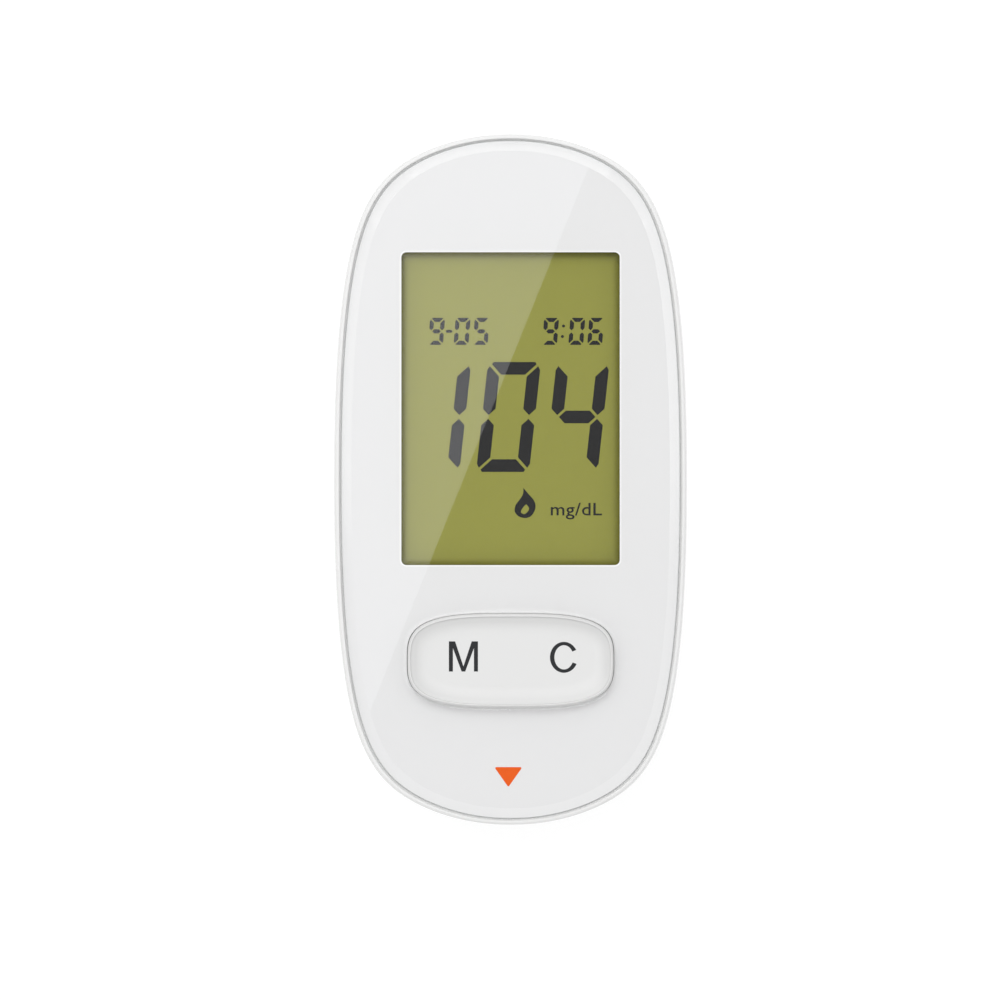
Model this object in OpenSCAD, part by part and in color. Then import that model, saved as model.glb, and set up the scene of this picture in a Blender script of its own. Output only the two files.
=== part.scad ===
// Hand-held blood glucose meter, lying on its back with the display facing up (+Z).
// The origin is the middle of the back, +Y points to the top of the display and -Y to the strip port.

/* [Case] */
// Width of the case at its widest
case_width = 48.1; // [47:0.1:54]
// Length of the case
case_length = 94; // [92:0.5:104]
// How square the oval outline is: 2 is an ellipse, higher is squarer
outline_power = 3.35; // [3:0.05:3.6]
// How much the two ends are rounded off between middle and corner, as a share of the half length
end_crown = 0.025; // [0:0.005:0.03]
// How much the two sides are rounded off between middle and corner, as a share of the half width
side_crown = 0.0125; // [0:0.0025:0.015]
// Wall of the two case shells
wall = 1.6; // [1.3:0.1:1.9]
// How far the rounded edge of the back reaches in from the side
back_edge_run = 9.5; // [8:0.5:11]
// Straight band of the rear shell just below the parting line
side_band = 0.6; // [0.3:0.1:1.5]
// Lean of the front shell's side towards the faceplate
side_lean = 0.3; // [0.1:0.05:0.4]
// Thickness of the rim that shows round the faceplate
rim_width = 0.8; // [0.7:0.05:1]
// Height of the rim above the deck that carries the faceplate
rim_height = 0.8; // [0.6:0.05:1]
// Height of the lip that lines up the two shells
lip_height = 1.1; // [0.8:0.1:1.5]
// Size of the vee along the parting line
parting_groove = 0.15; // [0.1:0.05:0.25]
// Thickness of the front shell's deck
deck_thickness = 1.3; // [1:0.1:1.8]

/* [Faceplate] */
// Thickness of the clear faceplate
faceplate_thickness = 1.5; // [1.2:0.1:2]
// Gap between the faceplate and the rim
faceplate_gap = 0.2; // [0.15:0.05:0.35]
// Width of the faceplate's bevelled edge
faceplate_edge_run = 1.5; // [1.2:0.05:2]
// Height of the faceplate's bevelled edge
faceplate_edge_rise = 0.4; // [0.25:0.05:0.6]
// Radius of the corner between the bevel and the faceplate's side
faceplate_edge_radius = 0.25; // [0.15:0.05:0.3]
// Thickness of the white printed layer under the faceplate
print_thickness = 0.1; // [0.05:0.01:0.15]
// Thickness of the adhesive tape under the printed layer
tape_thickness = 0.2; // [0.1:0.05:0.3]

/* [Display] */
// Width of the clear window
window_width = 29.6; // [28:0.2:30.6]
// Length of the clear window
window_length = 42.4; // [40:0.2:43]
// Distance from the top of the case to the window's upper edge
window_from_top = 16.2; // [15.4:0.1:17]
// Radius of the window's corners
window_radius = 0.7; // [0.4:0.1:1.5]
// Thickness of one pane of the display glass
glass_thickness = 0.7; // [0.5:0.05:1.1]
// Thickness of the polariser and of the reflector film
film_thickness = 0.15; // [0.1:0.01:0.2]
// Border of the display glass beyond the window
glass_border = 2.2; // [1.8:0.1:2.4]
// Width of the contact ledge along the bottom of the front glass
ledge_width = 2.4; // [2:0.1:2.5]
// Height of the conductive rubber strip between the board and the glass
zebra_height = 2.65; // [2.3:0.05:3.5]
// Wall of the frame that holds the display
frame_wall = 1.1; // [0.9:0.1:1.2]
// Thickness of the foam gasket over the display
gasket_thickness = 0.4; // [0.2:0.1:0.6]

/* [Rocker key] */
// Width of the rocker key
key_width = 27.9; // [26:0.1:28.5]
// Depth of the rocker key, along the case
key_depth = 12.7; // [12:0.1:13.2]
// How square the key's outline is
key_power = 3.3; // [2.8:0.1:3.8]
// Distance from the window's lower edge to the middle of the key
key_below_window = 12.9; // [12.8:0.1:14.5]
// Gap between the key and the faceplate
key_gap = 0.2; // [0.18:0.02:0.4]
// Gap between the key and the opening in the deck that guides it
key_guide_gap = 0.1; // [0.08:0.01:0.15]
// Height of the key's raised edge above the faceplate
key_rise = 0.55; // [0.4:0.05:1]
// Width of the key's raised crest
key_crest = 0.5; // [0.3:0.05:0.9]
// Depth of the dish in the key's top
key_dish = 0.65; // [0.3:0.05:0.75]
// Distance from the key's side to the flat of the dish
key_edge_run = 2.3; // [1.8:0.1:4]
// Thickness of the key's skirt
key_skin = 1.1; // [0.9:0.1:1.3]
// Radius of the key's pivot pins
pivot_radius = 0.7; // [0.5:0.05:0.8]
// Distance of each actuator post from the key's middle
post_offset = 9; // [8:0.5:9.5]
// Radius of each actuator post
post_radius = 1.6; // [1.2:0.1:1.9]

/* [Circuit board] */
// Thickness of the circuit board
board_thickness = 1.2; // [1:0.1:1.6]
// Distance of the board's edge from the side of the case
board_inset = 3.2; // [2.8:0.1:3.4]
// Gap between the battery compartment and the board
board_gap = 0.8; // [0.5:0.1:1.2]
// Radius of the sounder
sounder_radius = 4.5; // [3.5:0.5:5]
// Height of the sounder
sounder_height = 1.6; // [1:0.1:2.5]

/* [Battery] */
// Diameter of the coin cell
cell_diameter = 20; // [18:0.5:20.5]
// Height of the coin cell
cell_height = 3.2; // [2.5:0.1:3.4]
// Thickness of the battery door
door_thickness = 1.3; // [1.1:0.1:1.4]
// Width of the battery door
door_width = 24; // [23:0.5:25]
// Length of the battery door
door_length = 26; // [25.5:0.5:27]
// Distance from the top of the case to the door's upper edge
door_from_top = 20; // [19:0.5:21]
// How far the door lies inside the back
door_recess = 0.15; // [0.1:0.05:0.2]
// Gap round the door
door_gap = 0.2; // [0.15:0.05:0.3]

/* [Strip port and ejector] */
// Width of the test strip slot
strip_width = 7.2; // [6:0.1:8]
// Height of the test strip slot
strip_height = 0.8; // [0.6:0.05:1]
// Travel of the ejector
eject_travel = 6; // [4:0.5:6.5]
// Width of the ejector's thumb pad
pad_width = 11; // [9:0.5:12]
// Length of the ejector's thumb pad
pad_length = 9; // [8:0.5:10]
// Width of the ejector's carriage
carriage_width = 10.8; // [9:0.2:11.6]
// Length of the ejector's spring at rest
spring_length = 11.2; // [10:0.1:13]
// Radius of the ejector's spring, to the middle of its wire
spring_radius = 0.8; // [0.6:0.05:0.9]
// Running gap between the ejector and the case
slide_gap = 0.05; // [0.03:0.01:0.1]

/* [Screws] */
// Radius of the case screws' shank
screw_radius = 1; // [0.8:0.05:1.1]
// Radius of the case screws' head
screw_head_radius = 1.65; // [1.5:0.05:1.9]
// Height of the case screws' head
screw_head_height = 1.2; // [0.9:0.1:1.5]
// Length of the case screws' shank
screw_length = 8; // [7:0.5:8.5]

/* [Hidden] */
$fn = 48;
outline_steps = 96; // points round the case
key_steps = 72; // points round the key
edge_steps = 8; // rings in the outside of the rounded back edge
inner_steps = 5; // rings in the inside of the rounded back edge
cut = 0.5; // how far a cutting shape runs past the face it cuts
fit = 0.1; // clearance between fixed parts that nest

// Heights, from the back upwards
door_top = door_recess + door_thickness;
ledge_z = door_top + slide_gap;
tab_z = wall + slide_gap;
tab_top = tab_z + 0.7;
cell_z = door_top + 0.3;
cell_top = cell_z + cell_height;
leaf_thickness = 0.3;
roof_z = cell_top + leaf_thickness + 0.35;
roof_thickness = 1;
board_z = roof_z + roof_thickness + board_gap;
board_top = board_z + board_thickness;
parting_z = board_top;
back_edge_rise = parting_z - side_band;
front_glass_z = board_top + zebra_height;
back_glass_z = front_glass_z - glass_thickness;
reflector_z = back_glass_z - film_thickness;
polariser_z = front_glass_z + glass_thickness;
gasket_z = polariser_z + film_thickness;
deck_z = gasket_z + gasket_thickness;
deck_top = deck_z + deck_thickness;
rim_z = deck_top + rim_height;
print_z = deck_top + tape_thickness;
faceplate_z = print_z + print_thickness;
faceplate_top = faceplate_z + faceplate_thickness;

// Outlines
case_size = [case_width, case_length];
case_form = [outline_power, end_crown, side_crown];
lip_inset = rim_width + fit;
front_wall_inset = wall + 0.2;
faceplate_inset = rim_width + faceplate_gap;
key_size = [key_width, key_depth];
key_form = [key_power, 0, 0];
window_centre = case_length / 2 - window_from_top - window_length / 2;
window_size = [window_width, window_length];
window_place = [0, window_centre, 0];
key_place = [0, window_centre - window_length / 2 - key_below_window, 0];
deck_margin = 0.7;

// How far the inside of the rounded back lies from the side of the case at the given height
function inner_inset(z) = back_edge_run - (back_edge_run - wall)
    * sqrt(1 - pow((back_edge_rise - z) / (back_edge_rise - wall), 2));

// How far the end of the case has fallen back from its tip, at the given distance from the middle line
function end_fall(x) = let (u = 2 * x / case_width, v = pow(1 - pow(u, outline_power), 1 / outline_power))
    case_length / 2 * (1 - v * (1 - end_crown * hump(u)));

// Display glass
glass_width = window_width + 2 * glass_border;
glass_top_y = window_centre + window_length / 2 + glass_border;
back_glass_bottom_y = window_centre - window_length / 2 - 0.6;
front_glass_bottom_y = back_glass_bottom_y - ledge_width;
zebra_y = [front_glass_bottom_y + 0.1, back_glass_bottom_y - 0.2];
frame_half = glass_width / 2 + fit; // half the inner width of the frame
frame_y = [front_glass_bottom_y - fit, glass_top_y + fit]; // inner ends of the frame
frame_pin_radius = 0.6;
frame_pin_inset = 0.6;
frame_pin_places = [
    for (side = [-1, 1]) [side * (frame_half - 4), frame_y[1] - 0.4],
    for (side = [-1, 1]) [side * (frame_half - frame_pin_inset), frame_y[0] + 1.4]
];

// Rocker key
key_top = faceplate_top + key_rise;
key_skirt_z = deck_z - 1.1;
key_roof_z = key_top - key_dish - key_skin;
pivot_z = deck_z - 0.6;
pivot_length = 1.7;
bearing_thickness = 1.4;
bearing_width = 4;
bearing_y = key_depth / 2 + key_gap + 0.15; // near face of each bearing, from the key's middle
mat_size = [key_width - 2 * key_skin + 1, key_depth - 2 * key_skin + 0.4];
mat_radius = 2;
mat_thickness = 0.6;
mat_top = pivot_z - 1;
dome_radius = 3.2;
dome_height = 0.8;

// Screws
boss_radius = screw_radius + 1.2;
rib_thickness = 0.9;
boss_clearance = 0.3;
upper_screw_y = glass_top_y + frame_wall + 2 * fit + rib_thickness + boss_clearance + boss_radius;
upper_screw_from_side = 12.5;
beside_key_x = key_width / 2 + key_gap + 2 * boss_clearance + boss_radius;
board_screw_above_key = 4.9;
case_screw_places = [
    for (side = [-1, 1]) [side * (case_width / 2 - upper_screw_from_side), upper_screw_y],
    for (side = [-1, 1]) [side * beside_key_x, key_place.y]
];
board_screw_places = [for (side = [-1, 1]) [side * beside_key_x, key_place.y + board_screw_above_key]];
seat_z = 3.4;
screw_slot_width = 0.35;
screw_bore_radius = screw_radius + slide_gap;
screw_hole_radius = screw_radius + 0.3;
board_screw_radius = 0.8;
board_screw_head_radius = 1.5;
board_screw_head_height = 1;
board_screw_length = 3.6;

// Parts under the board
// Battery compartment
door_top_y = case_length / 2 - door_from_top;
door_bottom_y = door_top_y - door_length;
cell_place = [0, door_top_y - door_length / 2, 0];
cell_radius = cell_diameter / 2;
positive_width = 3.6;
positive_y = cell_place.y + cell_radius;
negative_width = 2.4;
negative_y = cell_place.y - cell_radius + 2;
pocket_radius = cell_radius + 0.3;
door_size = [door_width, door_length];
door_radius = 4;
compartment_size = door_size + [3, 3];
tab_offset = 6;
tab_width = 4;
tab_reach = 1.4;
latch_width = 8;
latch_root = 2.3; // from the door's lower edge to the far side of the tongue's root
latch_leaf = 0.6;
hook_reach = 0.6;
scoop_radius = 4.2;
scoop_depth = 0.8;

// Parts under the board, beside the battery compartment and below it
board_reach = [case_width / 2 - board_inset, case_length / 2 - board_inset];
chip_height = 1.2;
lead_reach = 0.9;
controller_size = [7, 7];
memory_size = [5, 4];
chip_row_y = door_bottom_y - 8;
memory_y = chip_row_y + 6;
chip_from_edge = 10;
memory_from_edge = 4.2;
crystal_size = [1.1, 6]; // radius and length
capacitor_size = [1.2, 2, 0.9];
capacitor_pitch = 3;
capacitor_from_edge = 4.3;
sounder_from_edge = 7.3;

// Strip connector, under the board at the port end
port_y = -case_length / 2;
connector_width = strip_width + 4.8;
strip_z = board_z - 2.2;
connector_z = strip_z - 1.3;
connector_front_y = port_y + inner_inset(connector_z) + end_fall(connector_width / 2) + 0.25;
connector_length = 12.3;
connector_rear_y = connector_front_y + connector_length;
contact_count = 5;
contact_pitch = 1.2;
contact_width = 0.5;
contact_reach = 9.8; // from the connector's rear face to the tip of each contact
contact_tail = 1.1; // from the same face to the end that is soldered to the board
contact_leaf = 0.25;

// Ejector
carriage_size = [carriage_width, 7];
spring_stop_y = connector_rear_y + 1.5;
carriage_front_y = spring_stop_y + spring_length;
recess_depth = wall - 0.3;
slide_floor_z = recess_depth + 1.2;
pad_rest_y = carriage_front_y + carriage_size.y / 2;
pad_end_y = pad_rest_y - eject_travel;
recess_size = [pad_width + 0.4, pad_length + eject_travel + 0.4];
recess_place = [0, (pad_rest_y + pad_end_y) / 2, 0];
stem_size = [3.6, 4];
carriage_thickness = 1;
carriage_z = slide_floor_z + slide_gap;
pusher_width = 3;
pusher_tip = 2;
groove_pitch = 1.5;
groove_radius = 0.45;
pusher_y = connector_rear_y - 0.8;
carriage_top = carriage_z + carriage_thickness;
rail_width = 1;
rail_reach = 0.5; // how far each rail laps over the carriage
spring_wire = 0.3;
spring_turns = 8;
spring_seat = spring_radius + 0.4; // half the width of the blocks at the spring's ends
spring_x = pusher_width / 2 + fit + spring_seat;
spring_z = slide_floor_z + fit + spring_radius + spring_wire / 2;

// ---------- shared shapes ----------

// Nothing at 0 and at 1, and its highest value of 1 between them
function hump(u) = 27 / 4 * u * u * pow(1 - u * u, 2);

// One point of an oval outline, at the given angle. A form is [power, crown of ends, crown of sides].
function oval_point(size, form, angle) =
    let (reach = pow(pow(abs(cos(angle)), form[0]) + pow(abs(sin(angle)), form[0]), 1 / form[0]),
        u = cos(angle) / reach, v = sin(angle) / reach)
    [size.x / 2 * u * (1 - form[2] * hump(v)), size.y / 2 * v * (1 - form[1] * hump(u))];

function oval(size, form, steps) = [for (i = [0 : steps - 1]) oval_point(size, form, 360 * i / steps)];

// Rounded corner of a profile, from the flat to the side: [inset, height] pairs
function quarter(centre, run, rise, from, to, steps) =
    [for (i = [0 : steps]) let (t = from + (to - from) * i / steps)
        [centre.x - run * cos(t), centre.y + rise * sin(t)]];

// A closed solid round the oval: each [inset, height] pair of the profile is one ring
module oval_loft(size, form, profile, steps) {
    rings = len(profile);
    points = [for (ring = profile)
        for (p = oval(size - 2 * [ring.x, ring.x], form, steps)) [p.x, p.y, ring.y]];
    sides = [for (k = [0 : rings - 2]) for (i = [0 : steps - 1])
        let (a = k * steps + i, b = k * steps + (i + 1) % steps, c = b + steps, d = a + steps)
        each [[a, d, c], [a, c, b]]];
    first_cap = [for (i = [0 : steps - 1]) i];
    last_cap = [for (i = [steps - 1 : -1 : 0]) (rings - 1) * steps + i];
    polyhedron(points, concat(sides, [first_cap, last_cap]));
}

module oval_plate(size, form, steps, z, thickness) {
    translate([0, 0, z]) linear_extrude(thickness) polygon(oval(size, form, steps));
}

module rounded_rect(size, radius) {
    square([size.x - 2 * radius, size.y], center = true);
    square([size.x, size.y - 2 * radius], center = true);
    for (x = [-1, 1], y = [-1, 1])
        translate([x * (size.x / 2 - radius), y * (size.y / 2 - radius)]) circle(radius);
}

module rounded_plate(place, size, radius, z, thickness) {
    translate([place.x, place.y, z]) linear_extrude(thickness) rounded_rect(size, radius);
}

// A box given by its limits along each axis
module block(x, y, z) {
    translate([x[0], y[0], z[0]]) cube([x[1] - x[0], y[1] - y[0], z[1] - z[0]]);
}

// A shape drawn in Y and Z, thickened evenly about the given X
module side_profile(x, width, points) {
    translate([x - width / 2, 0, 0]) rotate([90, 0, 90]) linear_extrude(width) polygon(points);
}

module at(places) {
    for (p = places) translate([p.x, p.y, 0]) children();
}

module pillar(z, top, radius) {
    translate([0, 0, z]) cylinder(h = top - z, r = radius);
}

// Opening for the rocker key, wider than the key by the given gap all round
module key_opening(gap, z, top) {
    translate(key_place) oval_plate(key_size + 2 * [gap, gap], key_form, key_steps, z, top - z);
}

// Opening in the deck, a little wider than the window in the printed layer
module deck_opening(z, top) {
    rounded_plate(window_place, window_size + 2 * [deck_margin, deck_margin], window_radius + deck_margin,
        z, top - z);
}

// ---------- case ----------

// Outside of the rear shell, from the flat of the back to the side
back_edge = quarter([back_edge_run, back_edge_rise], back_edge_run, back_edge_rise, -90, 0, edge_steps);

module rear_shell() {
    inner = quarter([back_edge_run, back_edge_rise], back_edge_run - wall, back_edge_rise - wall,
        0, -90, inner_steps);
    oval_loft(case_size, case_form, concat(
        back_edge,
        [[0, parting_z - parting_groove], [parting_groove, parting_z]],
        [[lip_inset, parting_z], [lip_inset, parting_z + lip_height], [wall, parting_z + lip_height]],
        inner
    ), outline_steps);
}

// The rear shell's outer form as a solid, which trims what stands inside it
module rear_form() {
    oval_loft(case_size, case_form, concat(back_edge, [[0, parting_z]]), outline_steps);
}

// Screw bosses that carry the board, each with a rib out to the side of the case
module rear_bosses() {
    intersection() {
        rear_form();
        for (p = case_screw_places) {
            translate([p.x, p.y, 0]) pillar(0, board_z, boss_radius + 0.6);
            block([min(p.x, sign(p.x) * case_width / 2), max(p.x, sign(p.x) * case_width / 2)],
                [p.y - rib_thickness / 2, p.y + rib_thickness / 2], [0, board_z - 1.5]);
            block([p.x - rib_thickness / 2, p.x + rib_thickness / 2],
                [min(p.y, p.y + sign(p.y) * 6), max(p.y, p.y + sign(p.y) * 6)], [0, board_z - 1.5]);
        }
    }
}

// Ribs on the floor that tie the battery compartment to the sides of the case
module floor_ribs() {
    intersection() {
        rear_form();
        for (y = [cell_place.y - 0.3 * door_length, cell_place.y + 0.3 * door_length])
            block([-case_width / 2, case_width / 2], [y - rib_thickness / 2, y + rib_thickness / 2],
                [0, wall + 1.5]);
    }
}

module compartment_cuts() {
    at([cell_place]) pillar(0, roof_z, pocket_radius);
    rounded_plate(cell_place, door_size + 2 * [door_gap, door_gap], door_radius + door_gap,
        -cut, ledge_z + cut);
    for (side = [-1, 1])
        block([side * tab_offset - tab_width / 2 - door_gap, side * tab_offset + tab_width / 2 + door_gap],
            [door_top_y - 2.7, door_top_y + tab_reach + 1], [ledge_z - fit, tab_top + 0.9]);
    // room for the latch, and a scoop in the back for the finger that works it
    latch_room = [-latch_width / 2 - 0.4, latch_width / 2 + 0.4];
    latch_end = door_bottom_y + latch_root + 0.5;
    block(latch_room, [door_bottom_y - hook_reach - 0.3, latch_end],
        [wall, ledge_z + 3.5 * latch_leaf + 0.7]);
    block(latch_room, [door_bottom_y - door_gap, latch_end], [ledge_z - fit, ledge_z + 1]);
    translate([0, door_bottom_y - 0.4, scoop_depth - scoop_radius]) rotate([0, 90, 0])
        cylinder(h = latch_width + 2, r = scoop_radius, center = true);
    // slot for the positive contact, and a hole for the leg of the negative one
    block([-positive_width / 2 - 0.5, positive_width / 2 + 0.5],
        [positive_y - 0.3, positive_y + leaf_thickness + 0.8], [ledge_z + 0.3, board_z]);
    block([-negative_width / 2 - 0.3, negative_width / 2 + 0.3],
        [negative_y - 0.3, negative_y + leaf_thickness + 0.3], [roof_z - cut, board_z]);
}

// The two hooked rails that guide the ejector's carriage
module carriage_rails() {
    inside = carriage_size.x / 2 + fit;
    y = [pad_end_y - carriage_size.y / 2, pad_rest_y + carriage_size.y / 2];
    for (turned = [0, 1]) mirror([turned, 0, 0]) {
        block([inside, inside + rail_width], y, [wall - cut, carriage_top + fit + 0.6]);
        block([inside - rail_reach, inside + rail_width], y, [carriage_top + fit, carriage_top + fit + 0.6]);
    }
}

module rear_housing() color("whitesmoke") {
    difference() {
        union() {
            rear_shell();
            rear_bosses();
            floor_ribs();
            rounded_plate(cell_place, compartment_size, door_radius + 1.5,
                wall - cut, roof_z + roof_thickness - wall + cut);
            rounded_plate(recess_place, recess_size + [2.4, 2.4], 2.7,
                wall - cut, slide_floor_z - wall + cut);
            carriage_rails();
            // stop for the ejector's spring
            block([spring_x - spring_seat, spring_x + spring_seat], [spring_stop_y - 1.2, spring_stop_y],
                [wall - cut, spring_z + spring_radius]);
        }
        compartment_cuts();
        at(case_screw_places) pillar(-cut, seat_z, screw_head_radius + fit);
        at(case_screw_places) pillar(-cut, board_z + cut, screw_hole_radius);
        // recess and slot for the ejector
        rounded_plate(recess_place, recess_size, 1.5, -cut, recess_depth + cut);
        rounded_plate(recess_place, [stem_size.x + 0.4, stem_size.y + eject_travel + 0.4], 0.5,
            0, slide_floor_z + cut);
        // strip port, with a wider mouth
        block([-strip_width / 2 - 0.6, strip_width / 2 + 0.6], [port_y - cut, connector_front_y],
            [strip_z - 0.3, strip_z + strip_height + 0.3]);
        block([-strip_width / 2 - 1.4, strip_width / 2 + 1.4], [port_y - cut, port_y + 0.9],
            [strip_z - 1, strip_z + strip_height + 1]);
    }
}

// Rail under the deck that locates the display's frame
module display_rail() {
    side = frame_half + frame_wall + fit;
    y = [frame_y[0] - frame_wall - fit, frame_y[1] + frame_wall + fit];
    difference() {
        block([-side - rib_thickness, side + rib_thickness], [y[0] - rib_thickness, y[1] + rib_thickness],
            [gasket_z - 1.2, deck_z + cut]);
        block([-side, side], y, [gasket_z - 1.2 - cut, deck_z + 2 * cut]);
    }
}

module front_housing() color("white") {
    rebate_z = parting_z + lip_height + fit;
    profile = [
        [front_wall_inset, deck_z], [front_wall_inset, rebate_z],
        [rim_width, rebate_z], [rim_width, parting_z],
        [parting_groove, parting_z], [0, parting_z + parting_groove],
        [side_lean * 0.2, parting_z + (rim_z - parting_z) * 0.4],
        [side_lean * 0.6, parting_z + (rim_z - parting_z) * 0.75],
        [side_lean, rim_z - 0.3], [side_lean + 0.09, rim_z - 0.09], [side_lean + 0.25, rim_z],
        [rim_width - 0.08, rim_z], [rim_width, rim_z - 0.08], [rim_width, deck_top]
    ];
    difference() {
        union() {
            oval_loft(case_size, case_form, profile, outline_steps);
            at(case_screw_places) pillar(parting_z, deck_z + cut, boss_radius);
            at(board_screw_places) pillar(board_top, deck_z + cut, boss_radius - 0.4);
            translate(key_place) for (turned = [0, 1]) mirror([0, turned, 0])
                block([-bearing_width / 2, bearing_width / 2], [bearing_y, bearing_y + bearing_thickness],
                    [pivot_z - 0.9, deck_z + cut]);
            display_rail();
        }
        deck_opening(deck_z - cut, deck_top + cut);
        key_opening(key_guide_gap, deck_z - cut, deck_top + cut);
        at(case_screw_places) pillar(parting_z - cut, seat_z + screw_length + 0.3, screw_bore_radius);
        at(board_screw_places)
            pillar(board_top - cut, board_z + board_screw_length + 0.3, board_screw_radius + slide_gap);
        // snap-in bearings for the key's pivot pins
        translate(key_place + [0, 0, pivot_z]) {
            rotate([90, 0, 0]) cylinder(h = key_depth + 8, r = pivot_radius + slide_gap, center = true);
            translate([-pivot_radius * 0.8, -key_depth / 2 - 4, -2])
                cube([pivot_radius * 1.6, key_depth + 8, 2]);
        }
    }
}

module faceplate() color("white", 0.4) {
    bevel_z = faceplate_top - faceplate_edge_rise * (1 - faceplate_edge_radius / faceplate_edge_run);
    difference() {
        oval_loft(case_size, case_form, concat(
            [[faceplate_inset, faceplate_z]],
            quarter([faceplate_inset + faceplate_edge_radius, bevel_z - faceplate_edge_radius],
                faceplate_edge_radius, faceplate_edge_radius, 0, 75, 4),
            [[faceplate_inset + faceplate_edge_run, faceplate_top]]
        ), outline_steps);
        key_opening(key_gap, faceplate_z - cut, faceplate_top + cut);
    }
}

module faceplate_print() color("white") {
    difference() {
        oval_plate(case_size - 2 * [faceplate_inset + fit, faceplate_inset + fit],
            case_form, outline_steps, print_z, print_thickness);
        rounded_plate(window_place, window_size, window_radius, print_z - cut, print_thickness + 2 * cut);
        key_opening(key_gap, print_z - cut, faceplate_z + cut);
    }
}

module faceplate_tape() color("gainsboro") {
    difference() {
        oval_plate(case_size - 2 * [faceplate_inset + 0.4, faceplate_inset + 0.4],
            case_form, outline_steps, deck_top, tape_thickness);
        deck_opening(deck_top - cut, print_z + cut);
        key_opening(key_gap + 0.4, deck_top - cut, print_z + cut);
    }
}

// ---------- display ----------

// A flat sheet of the display, from the given bottom edge to the top of the glass
module display_sheet(width, bottom_y, top_y, z, thickness) {
    block([-width / 2, width / 2], [bottom_y, top_y], [z, z + thickness]);
}

module lcd_front_polariser() color("darkkhaki", 0.6)
    display_sheet(glass_width - 1, back_glass_bottom_y + 0.3, glass_top_y - 0.5, polariser_z, film_thickness);

module lcd_front_glass() color("lightgreen", 0.5)
    display_sheet(glass_width, front_glass_bottom_y, glass_top_y, front_glass_z, glass_thickness);

module lcd_back_glass() color("lightgreen", 0.5)
    display_sheet(glass_width, back_glass_bottom_y, glass_top_y, back_glass_z, glass_thickness);

module lcd_reflector() color("olivedrab")
    display_sheet(glass_width - 1, back_glass_bottom_y + 0.3, glass_top_y - 0.5, reflector_z, film_thickness);

module lcd_gasket() color("dimgray") {
    outer = [glass_width - 1.4, window_length + 4];
    difference() {
        rounded_plate(window_place, outer, 1, gasket_z, gasket_thickness);
        deck_opening(gasket_z - cut, deck_z + cut);
    }
}

module lcd_frame() color("ivory") {
    side = frame_half + frame_wall;
    seat = frame_half - 1.9;
    difference() {
        block([-side, side], [frame_y[0] - frame_wall, frame_y[1] + frame_wall], [board_top, gasket_z]);
        block([-frame_half, frame_half], frame_y, [reflector_z, gasket_z + cut]);
        for (y = [[back_glass_bottom_y + 1, frame_y[1] - 1.8], [zebra_y[0] - fit, zebra_y[1] + fit]])
            block([-seat, seat], y, [board_top - cut, reflector_z + cut]);
    }
    at(frame_pin_places) pillar(board_z - 0.3, board_top + cut, frame_pin_radius);
}

module zebra_connector() color("hotpink")
    block([-glass_width / 2 + 2, glass_width / 2 - 2], zebra_y, [board_top, front_glass_z]);

// ---------- rocker key ----------

module rocker_key() color("white") {
    // the dish falls in an even slope, and eases into its flat over the last part of the run
    ease = 0.4;
    drops = concat(
        [[1 - ease, (1 - ease) / (1 - ease / 2)]],
        [for (i = [1 : 4]) let (rest = ease * (1 - i / 4))
            [1 - rest, 1 - rest * rest / (ease * (2 - ease))]]
    );
    profile = concat(
        [[key_skin, key_roof_z], [key_skin, key_skirt_z], [0, key_skirt_z]],
        quarter([key_crest, faceplate_top], key_crest, key_rise, 0, 90, 5),
        [for (d = drops) [key_crest + (key_edge_run - key_crest) * d[0], key_top - key_dish * d[1]]]
    );
    translate(key_place) {
        oval_loft(key_size, key_form, profile, key_steps);
        for (side = [-1, 1]) {
            translate([side * post_offset, 0, 0]) pillar(mat_top, key_roof_z + 0.3, post_radius);
            translate([0, side * (key_depth / 2 - 0.6), pivot_z]) rotate([-side * 90, 0, 0])
                cylinder(h = pivot_length + 0.6, r = pivot_radius);
        }
    }
}

module key_mat() color("silver") {
    translate(key_place) {
        rounded_plate([0, 0], mat_size, mat_radius, board_top, mat_thickness);
        for (side = [-1, 1]) translate([side * post_offset, 0, board_top + mat_thickness]) {
            cylinder(h = dome_height, r1 = dome_radius, r2 = dome_radius * 0.75);
            translate([0, 0, dome_height])
                cylinder(h = mat_top - board_top - mat_thickness - dome_height, r = post_radius);
        }
    }
}

// ---------- circuit board ----------

module main_board() color("seagreen") {
    difference() {
        oval_plate(case_size - 2 * [board_inset, board_inset], case_form, outline_steps,
            board_z, board_thickness);
        at(case_screw_places) pillar(board_z - cut, board_top + cut, screw_hole_radius);
        at(board_screw_places) pillar(board_z - cut, board_top + cut, board_screw_radius + fit);
        at(frame_pin_places) pillar(board_z - cut, board_top + cut, frame_pin_radius + slide_gap);
    }
}

// A chip under the board with a row of leads along two or four sides
module chip(place, size, leads, sides) {
    pitch = size.x / (leads + 1);
    translate([place.x, place.y, board_z - chip_height]) {
        translate([-size.x / 2, -size.y / 2, 0]) cube([size.x, size.y, chip_height * 0.92]);
        for (turn = [0 : 360 / sides : 359]) rotate(turn) for (i = [0 : leads - 1])
            translate([(i - (leads - 1) / 2 - 0.2) * pitch, size.y / 2 - 0.2, chip_height * 0.4])
                cube([0.4 * pitch, lead_reach + 0.2, chip_height * 0.6]);
    }
}

module microcontroller() color("dimgray")
    chip([chip_from_edge - board_reach.x, chip_row_y], controller_size, 8, 4);

module memory_chip() color("dimgray")
    chip([board_reach.x - memory_from_edge, memory_y], memory_size, 4, 2);

module crystal() color("silver")
    translate([board_reach.x - chip_from_edge, chip_row_y, board_z - crystal_size[0]]) rotate([90, 0, 0])
        cylinder(h = crystal_size[1], r = crystal_size[0], center = true);

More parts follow.
